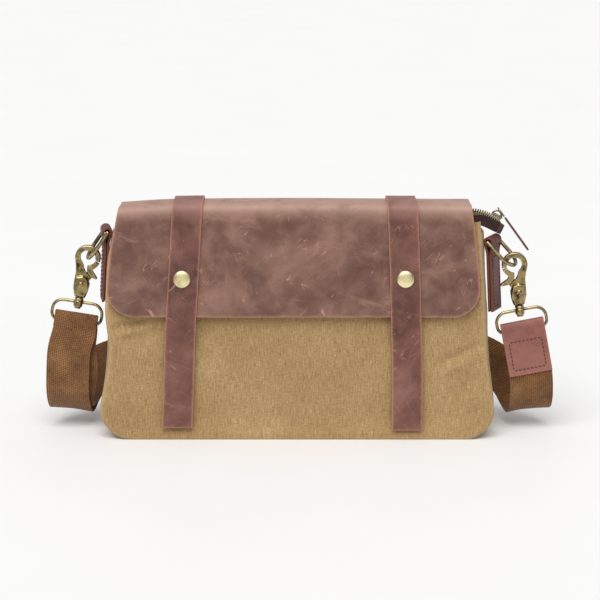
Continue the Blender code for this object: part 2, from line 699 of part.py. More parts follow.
def webbing_stations(right, left):
    """Middle of the webbing from its sewn end on the right to the left loop, as x, y, z and a turn.

    The turn is 0 when the width lies along X and 90 when it stands upright."""
    start = right.fold + right.loop_down * (FOLD_RISE + 5.0)
    below = right.fold + right.loop_down * PATCH_LENGTH
    top = left.fold - Vector((0, LOOP_BEND, 0))
    y_right = start.y
    y_left = top.y
    tilt = SIDES["right"]["loop_tilt"]
    return [
        (start.x, y_right, start.z, tilt),
        ((start.x + below.x) / 2, y_right, (start.z + below.z) / 2, tilt),
        (below.x, y_right, below.z, tilt - 2),
        (below.x + 1.2, y_right + 1.5, 33.0, 6),
        (below.x + 0.8, y_right + 9.0, 20.0, 4),
        (below.x - 1.0, y_right + 19.0, 16.5, 8),
        (below.x - 5.0, y_right + 30.0, 22.0, 18),
        (186.0, 32.0, 36.0, 34),
        (169.0, 46.5, 49.0, 52),
        (147.0, 55.5, 55.0, 68),
        (120.0, 58.0, 51.0, 80),
        (92.0, 57.0, 40.0, 86),
        (62.0, 55.0, 29.0, 90),
        (30.0, 54.0, LANE_Z + 1.0, 90),
        (-10.0, 54.0, LANE_Z, 90),
        (-60.0, 54.0, LANE_Z, 90),
        (-86.0, 54.5, LANE_Z, 90),
        (-94.0, 59.0, LANE_Z, 90),
        (-94.0, 67.0, LANE_Z, 90),
        (-86.0, 71.5, LANE_Z, 90),
        (-60.0, 72.0, LANE_Z, 90),
        (0.0, 72.0, LANE_Z, 90),
        (62.0, 72.5, LANE_Z, 90),
        (70.0, 77.0, LANE_Z, 90),
        (71.0, 87.0, LANE_Z, 90),
        (63.0, 92.0, LANE_Z, 90),
        (40.0, 93.5, LANE_Z, 90),
        (0.0, ADJUSTER_Y + 3.7, LANE_Z, 90),
        (ADJUSTER_X, ADJUSTER_Y + 3.7, LANE_Z, 90),
        (-95.0, 92.5, 25.0, 92),
        (-122.0, 84.0, 34.0, 98),
        (-146.0, 72.0, 43.0, 108),
        (-167.0, 58.0, 45.0, 122),
        (-183.0, 42.5, 37.0, 140),
        (-191.5, 27.5, 25.0, 158),
        (-195.0, 14.0, 17.0, 170),
        (-197.5, 4.0, 17.5, 175),
        (-198.5, y_left + 2.0, 31.0, 175),
        (-198.0, y_left, 50.0, 174),
        (-196.5, y_left, 70.0, 173),
        (*(top + left.loop_down * 14.0), 171),
        (*(top + left.loop_down * 6.0), 171),
        (*(top + left.loop_down * 2.0), 171),
        (*top, 171),
    ]


def band_frames(stations):
    """For each station the middle, the direction across the width and the direction through the thickness."""
    places = [Vector(s[:3]) for s in stations]
    frames = []
    for i, (place, station) in enumerate(zip(places, stations)):
        ahead = (places[min(i + 1, len(places) - 1)] - places[max(i - 1, 0)]).normalized()
        turn = math.radians(station[3])
        wide = Vector((math.cos(turn), 0, math.sin(turn)))
        wide = (wide - ahead * wide.dot(ahead)).normalized()
        frames.append((place, wide, ahead.cross(wide)))
    return frames


def band_rings(frames, thickness, width):
    a, b = width / 2, thickness / 2
    rings = []
    for place, wide, thick in frames:
        corners = ((-a, -b), (a, -b), (a, b), (-a, b))
        rings.append([tuple(place + wide * across + thick * through) for across, through in corners])
    return rings


def webbing_frames(right, left):
    """The webbing from its sewn end on the right to the left loop, round its bar and back to the adjuster."""
    out = band_frames(smooth_route(webbing_stations(right, left), 3))
    around = []
    last_wide = out[-1][1]
    for a, b in arc((0, 0), LOOP_BEND, 180, 0, 9)[1:-1]:
        thick = (Vector((0, a, 0)) - left.loop_down * b) / LOOP_BEND
        around.append((left.fold + thick * LOOP_BEND, last_wide, thick))
    back = []
    start = max(i for i, frame in enumerate(out) if frame[0].y > ADJUSTER_Y and frame[0].x > ADJUSTER_X - 2)
    for i in range(len(out) - 1, start - 1, -1):
        place, wide, thick = out[i]
        height = place.z / left.fold.z if place.y < 12 else 0.0
        aside = RETURN_SHIFT * math.sin(math.pi * min(1.0, max(0.0, height))) ** 2
        spread = 2 * LOOP_BEND + RETURN_SPREAD * min(1.0, max(0.0, place.y / 60))
        back.append((place - thick * spread - wide * aside, wide, -thick))
    return out + around + back


def add_webbing(right, left, joint):
    rings = band_rings(webbing_frames(right, left), WEB, WEB_WIDTH)
    add_loft("strap_webbing", rings, "webbing", joint)


def add_adjuster(joint):
    """The three-bar slide that sets the strap's length, on edge behind the bag."""
    wide = WEB_WIDTH / 2 + 2.4
    reach = ADJUSTER_LENGTH / 2
    corners = []
    for sx, sz, start in ((1, 1, 0), (-1, 1, 90), (-1, -1, 180), (1, -1, 270)):
        corners += arc((sx * (reach - 3.0), sz * (wide - 3.0)), 3.0, start, start + 90, 4)
    points = [(ADJUSTER_X + a, ADJUSTER_Y, LANE_Z + b) for a, b in corners]
    frame = add_mesh("strap_adjuster", wire_mesh("adjuster", points, 1.3, 8), "brass", joint, True)
    bar = [(ADJUSTER_X, ADJUSTER_Y, LANE_Z - wide), (ADJUSTER_X, ADJUSTER_Y, LANE_Z + wide)]
    join_solid(frame, wire_mesh("bar", bar, 1.1, 8, False), "UNION")


def main():
    clear_scene()
    right, left = Side("right"), Side("left")
    joint_top = add_joint_empty("flap_back_fold", (0, BACK_FOLD_Y, FOLD_Z))
    joint_front = add_joint_empty("flap_front_fold", (0, FRONT_FOLD_Y, FOLD_Z))
    add_panel("front_panel", -1)
    add_panel("back_panel", 1)
    add_gusset()
    add_lining()
    add_flap(joint_top, joint_front)
    for strap in STRAPS:
        add_flap_strap(*strap[:4], joint_top, joint_front)
    add_snaps(joint_front)
    x, _, z, slope = zip_stations(-1)[-1]
    up = Vector((math.sin(slope), 0, math.cos(slope)))
    along = Vector((math.cos(slope), 0, -math.sin(slope)))
    slider_place = Vector((x, 0, z)) + up * (ZIP_TAPE_HEIGHT / 2)
    pull_place = slider_place + up * 8.5 - along * 5.5
    joint_slider = add_joint_empty("slider_path", slider_place)
    joint_pull = add_joint_empty("pull_axis", pull_place)
    add_zip(joint_slider, joint_pull)
    joint_strap = add_joint_empty("strap_axis", right.eye)
    for side in (right, left):
        joint_ring = add_joint_empty(f"ring_axis_{side.name}", side.bar)
        joint_hook = add_joint_empty(f"swivel_axis_{side.name}", side.eye)
        joint_trigger = add_joint_empty(f"trigger_axis_{side.name}", side.pivot)
        add_ring(side, joint_ring)
        add_tab(side)
        add_hook(side, joint_hook, joint_trigger)
        add_strap_loop(side, joint_strap)
    add_patch(right, joint_strap)
    add_webbing(right, left, joint_strap)
    add_adjuster(add_joint_empty("adjuster_path", (ADJUSTER_X, ADJUSTER_Y, LANE_Z)))


main()
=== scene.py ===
"""Looks of the canvas and leather messenger bag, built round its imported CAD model.

Sizes are in millimetres in the frame of the CAD part: +X right in the front view, the front faces -Y, +Z up.
Meshes are made in metres. Every sheet carries a UV map in millimetres along its own surface, which the weaves
and the leather grain follow, and an attribute "edge", its distance to the nearest cut edge.
"""

import json
import math

import bmesh
import bpy
import numpy as np
from mathutils import Matrix, Vector, noise

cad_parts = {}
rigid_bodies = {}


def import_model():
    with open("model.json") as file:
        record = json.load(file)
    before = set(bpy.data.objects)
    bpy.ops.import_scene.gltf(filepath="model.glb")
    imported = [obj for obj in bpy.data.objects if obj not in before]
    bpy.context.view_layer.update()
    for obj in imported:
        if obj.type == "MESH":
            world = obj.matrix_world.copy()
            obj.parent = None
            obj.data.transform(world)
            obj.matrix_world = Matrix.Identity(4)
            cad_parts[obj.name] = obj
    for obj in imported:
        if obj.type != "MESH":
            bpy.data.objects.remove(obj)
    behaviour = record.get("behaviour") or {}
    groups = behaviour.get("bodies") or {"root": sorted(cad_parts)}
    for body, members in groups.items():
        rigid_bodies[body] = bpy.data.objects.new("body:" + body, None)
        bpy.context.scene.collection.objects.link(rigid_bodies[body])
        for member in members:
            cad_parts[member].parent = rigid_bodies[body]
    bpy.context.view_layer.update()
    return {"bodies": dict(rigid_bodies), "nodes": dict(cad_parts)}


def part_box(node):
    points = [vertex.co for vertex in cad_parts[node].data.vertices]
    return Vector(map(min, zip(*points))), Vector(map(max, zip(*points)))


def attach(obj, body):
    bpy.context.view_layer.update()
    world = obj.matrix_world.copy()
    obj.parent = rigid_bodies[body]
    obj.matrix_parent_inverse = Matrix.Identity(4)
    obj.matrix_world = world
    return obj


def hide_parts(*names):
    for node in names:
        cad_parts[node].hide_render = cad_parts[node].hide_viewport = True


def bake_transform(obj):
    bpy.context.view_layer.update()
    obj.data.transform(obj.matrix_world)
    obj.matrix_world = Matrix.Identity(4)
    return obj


MM = 0.001

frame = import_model()


def unit(value):
    """The value kept from 0 to 1."""
    return min(1.0, max(0.0, value))


def bell(distance, width, power=2):
    """A smooth bump: 1 at distance 0, and near 0 beyond twice the width."""
    return math.exp(-((distance / width) ** power))


def box_mm(node):
    low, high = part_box(node)
    return low / MM, high / MM


PANEL_LOW, PANEL_HIGH = box_mm("front_panel")
FLAP_LOW, FLAP_HIGH = box_mm("flap_front")
TOP_LOW, TOP_HIGH = box_mm("flap_top")

# Canvas body, as in the CAD part
BODY_HEIGHT = PANEL_HIGH.z
HALF_DEPTH_BOTTOM = -PANEL_LOW.y
HALF_DEPTH_TOP = 18.0
CORNER_RADIUS = 22.0
HALF_WIDTH_CORNER = PANEL_HIGH.x
TAPER = 10.0 / 184.0
CANVAS = 1.6
SEAM_ROLL = 3.0
SETTLE_FRAMES = 20
SETTLE_LIMIT = np.array((0.8, 1.3, 0.8))
SEAM_RIDGE = 6.5
ZIP_END_Z = 174.0

# Leather
LEATHER = 2.2
GAP = 0.35
LAYER = LEATHER + GAP
FLAP_CLEARANCE = 2.7
FLAP_TOP_Z = TOP_HIGH.z
FLAP_BOTTOM_Z = FLAP_LOW.z
FLAP_BACK_Z = 150.0
FLAP_CORNER = 24.0
FOLD_RADIUS = 7.0
# How far each side of the flap spreads from the fold to the lower edge, by the side's sign
FLAP_SPREAD = {-1: 11.0, 1: 8.0}
FOLD_Z = box_mm("strap_left_top")[1].z
STRAP_WIDTH = 25.5
# Each strap: name, middle at the top fold, beside the snap and at the lower end, height of the lower end
STRAPS = (("left", -92.5, -96.8, -102.5, 11.0), ("right", 87.5, 90.4, 92.5, 9.0))
SNAP_Z = 136.5
SNAP_RADIUS = 7.5

# Shoulder strap
WEB_WIDTH = 37.0
WEB = 1.8
LOOP_WIRE = 1.4
LOOP_BEND = LOOP_WIRE + 0.7 + WEB / 2
FOLD_RISE = 4.8
PATCH_LENGTH = 43.0
RETURN_SHIFT = 7.0
RETURN_SPREAD = 2.0
LANE_Z = 24.0
ADJUSTER = Vector((-46.0, 91.0, LANE_Z))
LOOP_BAR = {"right": Vector((192.59, -11.69, 89.32)), "left": Vector((-190.56, -6.01, 95.00))}
LOOP_TILT = {"right": 11.0, "left": -9.0}


# Sheets: the usual spacing of their points, the edge distance of one with no cut edge to show, and how far
# left of the middle the weave and grain start
SHEET_STEP = 2.4
NO_EDGE = 3.0
MAP_START = 170.0


# ---------------------------------------------------------------- node materials


class Shader:
    """A Principled material, with short calls for the nodes that feed it."""

    def __init__(self, name, roughness=0.6, metallic=0.0, specular=0.5):
        self.material = bpy.data.materials.new(name)
        self.material.use_nodes = True
        self.tree = self.material.node_tree
        self.surface = self.tree.nodes["Principled BSDF"]
        self.surface.inputs["Roughness"].default_value = roughness
        self.surface.inputs["Metallic"].default_value = metallic
        self.surface.inputs["Specular IOR Level"].default_value = specular

    def feed(self, socket, value):
        if isinstance(value, bpy.types.NodeSocket):
            self.tree.links.new(value, socket)
        else:
            socket.default_value = value

    def node(self, kind, settings=None, **inputs):
        made = self.tree.nodes.new(kind)
        for key, value in (settings or {}).items():
            setattr(made, key, value)
        for key, value in inputs.items():
            self.feed(made.inputs[key.replace("_", " ")], value)
        return made

    def math(self, operation, *values, clamp=False):
        made = self.node("ShaderNodeMath", {"operation": operation, "use_clamp": clamp})
        for socket, value in zip(made.inputs, values):
            self.feed(socket, value)
        return made.outputs[0]

    def times(self, *values, clamp=False):
        return self.math("MULTIPLY", *values, clamp=clamp)

    def plus(self, *values):
        return self.math("ADD", *values)

    def minus(self, *values):
        return self.math("SUBTRACT", *values)

    def yarn(self, value):
        """A round hump over each whole step of the value."""
        return self.math("SINE", self.times(self.math("FRACT", value), math.pi))

    def uv(self):
        return self.node("ShaderNodeUVMap", {"uv_map": "sheet"}).outputs[0]

    def place(self):
        """Object coordinates in millimetres, for pieces without a sheet's UV map."""
        place = self.node("ShaderNodeTexCoord").outputs["Object"]
        return self.stretched(place, (1 / MM, 1 / MM, 1 / MM))

    def stretched(self, vector, scale, turn=0.0, shift=(0.0, 0.0, 0.0)):
        """Coordinates turned first and then scaled, so that marks run along the turned direction."""
        mapping = self.node("ShaderNodeMapping", {"vector_type": "TEXTURE"})
        self.feed(mapping.inputs["Vector"], vector)
        mapping.inputs["Location"].default_value = tuple(-part / size for part, size in zip(shift, scale))
        mapping.inputs["Rotation"].default_value = (0.0, 0.0, turn)
        mapping.inputs["Scale"].default_value = tuple(1.0 / part for part in scale)
        return mapping.outputs["Vector"]

    def noise(self, vector, scale, detail=3.0, roughness=0.55, distortion=0.0):
        made = self.node(
            "ShaderNodeTexNoise",
            Vector=vector,
            Scale=scale,
            Detail=detail,
            Roughness=roughness,
            Distortion=distortion,
        )
        return made.outputs[0]

    def cells(self, vector, scale):
        return self.node("ShaderNodeTexVoronoi", Vector=vector, Scale=scale).outputs["Distance"]

    def smooth(self, value, low, high, to_low=0.0, to_high=1.0):
        """value from low to high becomes to_low to to_high, eased at both ends."""
        made = self.node(
            "ShaderNodeMapRange",
            {"interpolation_type": "SMOOTHSTEP"},
            Value=value,
            From_Min=low,
            From_Max=high,
            To_Min=to_low,
            To_Max=to_high,
        )
        return made.outputs[0]

    def ramp(self, value, *stops):
        made = self.node("ShaderNodeValToRGB", Fac=value)
        ramp = made.color_ramp
        while len(ramp.elements) < len(stops):
            ramp.elements.new(0.5)
        for element, (position, colour) in zip(ramp.elements, stops):
            element.position = position
            element.color = (*colour, 1.0)
        return made.outputs[0]

    def mix(self, share, first, second):
        made = self.tree.nodes.new("ShaderNodeMix")
        made.data_type = "RGBA"
        self.feed(made.inputs[0], share)
        for socket, value in ((made.inputs[6], first), (made.inputs[7], second)):
            self.feed(socket, (*value, 1.0) if isinstance(value, tuple) else value)
        return made.outputs[2]

    def split(self, vector):
        return self.node("ShaderNodeSeparateXYZ", Vector=vector).outputs

    def attribute(self, name):
        return self.node("ShaderNodeAttribute", {"attribute_name": name}).outputs["Fac"]

    def bump(self, height, distance, strength=1.0, under=None):
        """A bump whose full height is distance millimetres."""
        made = self.node("ShaderNodeBump", Height=height, Distance=distance * MM, Strength=strength)
        if under is not None:
            self.feed(made.inputs["Normal"], under)
        return made.outputs[0]

    def finish(self, colour, roughness=None, normal=None):
        self.feed(self.surface.inputs["Base Color"], colour)
        if roughness is not None:
            self.feed(self.surface.inputs["Roughness"], roughness)
        if normal is not None:
            self.feed(self.surface.inputs["Normal"], normal)
        return self.material


def leather_material(name, dark, middle, light, raw, scratches, seed):
    """Waxed pull-up leather: clouded colour, pale scratches and rubs, lighter raw edges, and a paler top bend that
    is partly real rubbing and partly a painted highlight.
    """
    s = Shader(name, specular=0.35)
    uv = s.stretched(s.uv(), (1.0, 1.0, 1.0), shift=(seed, seed * 0.7, 0.0))
    clouds = s.noise(uv, 0.018, 6.0, 0.62, 0.6)
    patches = s.noise(uv, 0.06, 4.0, 0.6, 0.3)
    colour = s.ramp(clouds, (0.24, dark), (0.5, middle), (0.82, light))
    colour = s.mix(s.smooth(patches, 0.35, 0.75, 0.0, 0.34), colour, light)
    pores = s.noise(uv, 1.3, 2.0, 0.6)
    colour = s.mix(s.smooth(pores, 0.35, 0.62, 0.35, 0.0), colour, dark)
    # Paler toward the top: real rubbing on the folds together with a painted highlight where the top bend catches
    # the light, read from the worn attribute; rubbed is the colour for both.
    worn = s.times(s.attribute("worn"), s.smooth(s.noise(uv, 0.05, 5.0, 0.7), 0.2, 0.55, 0.35, 1.0))
    rubbed = tuple(part**0.85 for part in light)
    colour = s.mix(s.times(worn, 0.8, clamp=True), colour, rubbed)
    rubs = s.noise(s.stretched(uv, (0.012, 0.06, 1.0), 0.35), 1.0, 5.0, 0.65, 0.8)
    rub_mask = s.smooth(rubs, 0.56, 0.72, 0.0, 0.5 * scratches)
    colour = s.mix(rub_mask, colour, light)
    lines = None
    for turn, length, width, limit in (
        (-0.80, 0.009, 0.007, 0.585),
        (0.95, 0.012, 0.007, 0.595),
        (1.75, 0.014, 0.008, 0.60),
        (-0.35, 0.010, 0.007, 0.60),
        (2.35, 0.030, 0.014, 0.60),
    ):
        along = s.stretched(uv, (length, length * 6.0, 1.0), turn, (turn * 37.0, 11.0, 0.0))
        band = s.noise(along, 1.0, 2.0, 0.5)
        thin = s.smooth(s.math("ABSOLUTE", s.minus(band, 0.5)), 0.0, width, 1.0, 0.0)
        where = s.smooth(s.noise(s.stretched(uv, (0.05, 0.05, 1.0), turn), 1.0, 2.0), limit, limit + 0.06)
        line = s.times(thin, where)
        lines = line if lines is None else s.math("MAXIMUM", lines, line)
    pale = s.mix(0.35, light, raw)
    colour = s.mix(s.times(lines, 0.75 * scratches, clamp=True), colour, pale)
    edge = s.attribute("edge")
    frayed = s.plus(edge, s.times(s.minus(s.noise(uv, 0.25, 3.0), 0.5), 2.4))
    colour = s.mix(s.smooth(frayed, 0.2, 2.2, 0.4, 0.0), colour, pale)
    colour = s.mix(s.smooth(edge, 0.15, 0.65, 1.0, 0.0), colour, raw)
    rough = s.smooth(clouds, 0.3, 0.7, 0.62, 0.48)
    grain = s.plus(s.times(pores, 0.6), s.times(s.cells(uv, 0.9), 0.4))
    normal = s.bump(grain, 0.12, 0.8)
    normal = s.bump(lines, -0.12, 0.7, normal)
    normal = s.bump(clouds, 1.2, 0.5, normal)
    return s.finish(colour, rough, normal)


def canvas_material(name, dark, middle, light):
    """Washed cotton canvas: a plain weave of uneven threads, faded on the ridges."""
    pitch = 0.9
    s = Shader(name, roughness=0.92, specular=0.15)
    s.surface.inputs["Sheen Weight"].default_value = 0.15
    s.surface.inputs["Sheen Roughness"].default_value = 0.5
    uv = s.uv()
    u, v, _ = s.split(uv)
    across = s.math("DIVIDE", u, pitch)
    along = s.math("DIVIDE", v, pitch)
    warp = s.yarn(across)
    weft = s.yarn(along)
    parity = s.math("FRACT", s.times(s.plus(s.math("FLOOR", across), s.math("FLOOR", along)), 0.5))
    over = s.math("GREATER_THAN", parity, 0.25)
    height = s.plus(s.times(warp, over), s.times(weft, s.minus(1.0, over)))
    slub_warp = s.noise(s.stretched(uv, (1.9 / pitch, 0.10, 1.0)), 1.0, 2.0, 0.7)
    slub_weft = s.noise(s.stretched(uv, (0.10, 1.9 / pitch, 1.0)), 1.0, 2.0, 0.7)
    threads = s.plus(s.times(slub_warp, 0.68), s.times(slub_weft, 0.32))
    fades = s.noise(uv, 0.012, 5.0, 0.6, 0.4)
    specks = s.noise(uv, 0.55, 3.0, 0.8)
    tone = s.plus(s.times(threads, 0.55), s.times(specks, 0.25))
    tone = s.plus(tone, s.times(fades, 0.20))
    colour = s.ramp(tone, (0.38, dark), (0.5, middle), (0.61, light))
    wear = s.smooth(s.attribute("edge"), 0.5, 4.0, 0.35, 0.0)
    colour = s.mix(wear, colour, light)
    shade = s.smooth(height, 0.0, 0.9, 0.25, 0.0)
    colour = s.mix(shade, colour, dark)
    normal = s.bump(height, 0.16, 0.8)
    normal = s.bump(threads, 0.5, 0.6, normal)
    return s.finish(colour, None, normal)


def webbing_material(name, dark, middle, light):
    """Cotton webbing: staggered rows of fat yarns across the width."""
    across_pitch, along_pitch = 1.7, 2.1
    s = Shader(name, roughness=0.85, specular=0.2)
    s.surface.inputs["Sheen Weight"].default_value = 0.2
    uv = s.uv()
    u, v, _ = s.split(uv)
    across = s.math("DIVIDE", u, across_pitch)
    column = s.math("FLOOR", across)
    along = s.plus(s.math("DIVIDE", v, along_pitch), s.times(column, 0.34))
    fat = s.yarn(across)
    beat = s.yarn(along)
    height = s.times(s.math("POWER", fat, 0.6), s.math("POWER", beat, 0.5))
    fibres = s.noise(s.stretched(uv, (2.4, 0.35, 1.0)), 1.0, 3.0, 0.7)
    cloud = s.noise(uv, 0.03, 4.0, 0.6)
    tone = s.plus(s.times(fibres, 0.5), s.times(cloud, 0.5))
    colour = s.ramp(tone, (0.38, dark), (0.5, middle), (0.64, light))
    # Painted shade: darker in the hollows between the yarns.
    colour = s.mix(s.smooth(height, 0.1, 0.85, 0.8, 0.0), colour, dark)
    normal = s.bump(height, 0.5, 1.0)
    normal = s.bump(fibres, 0.10, 0.7, normal)
    return s.finish(colour, None, normal)


def brass_material(name, patina, metal, bright, roughness):
    """Antique brass: dark in its hollows, rubbed bright on its edges."""
    s = Shader(name, metallic=1.0)
    place = s.place()
    tarnish = s.noise(place, 0.13, 4.0, 0.6, 0.4)
    colour = s.ramp(tarnish, (0.36, patina), (0.54, metal), (0.75, metal))
    bend = s.node("ShaderNodeNewGeometry").outputs["Pointiness"]
    colour = s.mix(s.smooth(bend, 0.50, 0.56, 0.0, 0.8), colour, bright)
    colour = s.mix(s.smooth(bend, 0.44, 0.495, 0.85, 0.0), colour, patina)
    rough = s.smooth(tarnish, 0.3, 0.7, roughness + 0.14, roughness)
    normal = s.bump(s.noise(place, 1.2, 3.0, 0.6), 0.05, 0.35)
    return s.finish(colour, rough, normal)


def cloth_material(name, dark, light, pitch=0.5):
    """Fine plain cloth, for the lining and the zip tape."""
    s = Shader(name, roughness=0.9, specular=0.2)
    uv = s.uv()
    u, v, _ = s.split(uv)
    wave_u = s.math("SINE", s.times(u, 2 * math.pi / pitch))
    wave_v = s.math("SINE", s.times(v, 2 * math.pi / pitch))
    weave = s.times(wave_u, wave_v)
    cloud = s.noise(uv, 0.05, 4.0)
    colour = s.ramp(cloud, (0.35, dark), (0.65, light))
    return s.finish(colour, None, s.bump(weave, 0.06, 0.6))


def thread_material(name, dark, light):
    """Waxed sewing thread, with its twist."""
    s = Shader(name, roughness=0.6, specular=0.4)
    place = s.place()
    twist = s.noise(place, 2.2, 2.0)
    colour = s.ramp(twist, (0.35, dark), (0.65, light))
    return s.finish(colour, None, s.bump(twist, 0.08, 0.6))


# Leathers: dark, middle and light of the grain, the raw edge, strength of the scratches, start of the grain
PULL_UP_EDGE = (0.50, 0.235, 0.150)
LEATHERS = {
    "flap": ((0.080, 0.032, 0.022), (0.162, 0.074, 0.053), (0.40, 0.228, 0.172), PULL_UP_EDGE, 1.0, 0.0),
    "strap": ((0.046, 0.017, 0.013), (0.155, 0.060, 0.044), (0.33, 0.160, 0.124), PULL_UP_EDGE, 0.9, 61.0),
    "tab": ((0.060, 0.018, 0.013), (0.125, 0.038, 0.028), (0.22, 0.082, 0.06), (0.15, 0.048, 0.032), 0.8, 140.0),
    "patch": ((0.16, 0.055, 0.043), (0.27, 0.10, 0.08), (0.39, 0.18, 0.145), (0.42, 0.15, 0.095), 0.8, 175.0),
    "dark_tab": ((0.022, 0.012, 0.01), (0.042, 0.022, 0.018), (0.09, 0.05, 0.04), (0.10, 0.05, 0.035), 0.6, 210.0),
}
# Brasses: patina, metal, rubbed edges and roughness
BRASSES = {
    "antique_brass": ((0.040, 0.028, 0.012), (0.33, 0.245, 0.112), (0.88, 0.74, 0.45), 0.22),
    "dark_brass": ((0.035, 0.025, 0.012), (0.20, 0.145, 0.070), (0.50, 0.39, 0.21), 0.34),
    "pale_brass": ((0.66, 0.56, 0.30), (0.88, 0.78, 0.46), (0.95, 0.87, 0.62), 0.30),
}
MATERIALS = {
    "canvas": canvas_material("canvas", (0.225, 0.135, 0.052), (0.405, 0.258, 0.115), (0.60, 0.42, 0.225)),
    "webbing": webbing_material(
        "webbing", (0.085, 0.035, 0.012), (0.272, 0.124, 0.043), (0.46, 0.235, 0.100)
    ),
    "lining": cloth_material("lining", (0.10, 0.07, 0.04), (0.16, 0.115, 0.07)),
    "tape": cloth_material("zip_tape", (0.040, 0.021, 0.018), (0.085, 0.046, 0.040), 0.8),
    "thread": thread_material("thread", (0.03, 0.014, 0.010), (0.075, 0.036, 0.024)),
}
MATERIALS.update({kind: leather_material(f"{kind}_leather", *looks) for kind, looks in LEATHERS.items()})
MATERIALS.update({kind: brass_material(kind, *looks) for kind, looks in BRASSES.items()})


# ---------------------------------------------------------------- mesh tools


def placed(name, data):
    """A new object in the scene."""
    obj = bpy.data.objects.new(name, data)
    bpy.context.scene.collection.objects.link(obj)
    return obj


def finish_object(name, mesh, material, body, replaced=(), sharp=50.0):
    """Link a mesh given in millimetres, shade it smooth and let it ride on its body."""
    mesh.transform(Matrix.Scale(MM, 4))
    mesh.materials.append(MATERIALS[material])
    mesh.shade_smooth()
    mesh.set_sharp_from_angle(angle=math.radians(sharp))
    obj = placed(name, mesh)
    if body:
        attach(obj, body)
    if replaced:
        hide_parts(*replaced)
    return obj


def edge_spacing(length, step, rim):
    """Distances from 0 to length: the rim distances at both ends and even steps between them."""
    count = max(2, round((length - 2 * rim[-1]) / step) + 1)
    middle = np.linspace(rim[-1], length - rim[-1], count)
    ends = np.array(rim[:-1])
    return np.concatenate([ends, middle, length - ends[::-1]])


LEATHER_RIM = (0.0, 0.1, 0.3, 0.6, 1.0, 1.8, 3.0)
RIM_RADIUS = 0.8


def rim_drop(edge, radius=RIM_RADIUS):
    """How far a rounded cut edge falls away at this distance from it."""
    inward = np.clip(radius - edge, 0.0, radius)
    return radius - np.sqrt(radius**2 - inward**2)


def grid_normals(grid):
    along = np.gradient(grid, axis=0)
    across = np.gradient(grid, axis=1)
    normals = np.cross(across, along)
    return normals / np.maximum(np.linalg.norm(normals, axis=2, keepdims=True), 1e-9)


def sheet_arrays(rows):
    """Points, map coordinates and edge distances of a sheet, from rows of (x, y, z, u, v, edge)."""
    table = np.array(rows, float)
    return table[..., :3], table[..., 3:5], table[..., 5]


def thick_sheet(name, grid, uv, edge, thickness, facing, radius=RIM_RADIUS, worn=None):
    """A closed sheet whose outer face is the grid; facing is the outward direction at its first rows."""
    normals = grid_normals(grid)
    if (normals[:2].reshape(-1, 3) @ np.array(facing, float)).sum() < 0:
        normals = -normals
    fall = rim_drop(edge, radius)[..., None]
    outer = grid - normals * fall
    inner = grid - normals * (thickness - fall)
    rows, columns = edge.shape
    index = np.arange(rows * columns).reshape(rows, columns)
    under = index + rows * columns
    faces = []

    def patch(block, flip):
        corners = [block[:-1, :-1], block[:-1, 1:], block[1:, 1:], block[1:, :-1]]
        quads = np.stack(corners, axis=-1).reshape(-1, 4)
        faces.extend((quads[:, ::-1] if flip else quads).tolist())

    patch(index, False)
    patch(under, True)
    border = np.concatenate([index[0, :-1], index[:-1, -1], index[-1, :0:-1], index[:0:-1, 0]])
    for a, b in zip(border, np.roll(border, -1)):
        faces.append([int(b), int(a), int(a) + rows * columns, int(b) + rows * columns])
    mesh = bpy.data.meshes.new(name)
    points = np.concatenate([outer.reshape(-1, 3), inner.reshape(-1, 3)])
    mesh.from_pydata(points.tolist(), [], faces)
    flat_uv = np.concatenate([uv.reshape(-1, 2)] * 2)
    layer = mesh.uv_layers.new(name="sheet")
    corners = np.array([loop.vertex_index for loop in mesh.loops])
    layer.data.foreach_set("uv", flat_uv[corners].astype(np.float32).ravel())
    # The worn attribute holds real rubbing together with a painted highlight on the top bend.
    worn = np.zeros_like(edge) if worn is None else worn
    for title, values in (("edge", edge), ("worn", worn)):
        attribute = mesh.attributes.new(title, "FLOAT", "POINT")
        attribute.data.foreach_set("value", np.concatenate([values.ravel()] * 2).astype(np.float32))
    work = bmesh.new()
    work.from_mesh(mesh)
    bmesh.ops.recalc_face_normals(work, faces=work.faces[:])
    work.to_mesh(mesh)
    work.free()
    return mesh


def corner_distance(left, right, end, radius):
    """Distance to the edge of a panel with two round corners, from its distances to the sides and the end."""
    near = np.minimum(left, right)
    distance = np.minimum(near, end)
    in_corner = (near < radius) & (end < radius)
    around = radius - np.hypot(radius - near, radius - end)
    return np.where(in_corner, around, distance)


def corner_inset(end, radius):
    """How far a round corner pulls the side in, at this distance from the end."""
    rise = np.clip(radius - end, 0.0, radius)
    return radius - np.sqrt(radius**2 - rise**2)


def ripple(x, y, z, size, seed):
    """Smooth noise from -1 to 1 with features of that size."""
    return noise.noise(Vector((x / size + seed, y / size, z / size - seed)))


def mesh_of(work, name):
    """The mesh that was built in work, its faces turned outward."""
    bmesh.ops.recalc_face_normals(work, faces=work.faces[:])
    mesh = bpy.data.meshes.new(name)
    work.to_mesh(mesh)
    work.free()
    return mesh


def add_rings(work, rings):
    """A closed skin over rings of points that follow each other."""
    rows = [[work.verts.new(point) for point in ring] for ring in rings]
    count = len(rows[0])
    for row, following in zip(rows, rows[1:]):
        for i in range(count):
            j = (i + 1) % count
            work.faces.new((row[i], row[j], following[j], following[i]))
    work.faces.new(rows[0])
    work.faces.new(rows[-1])


def arc(centre, radius, start, end, count):
    found = []
    for i in range(count):
        angle = math.radians(start + (end - start) * i / (count - 1))
        found.append((centre[0] + radius * math.cos(angle), centre[1] + radius * math.sin(angle)))
    return found


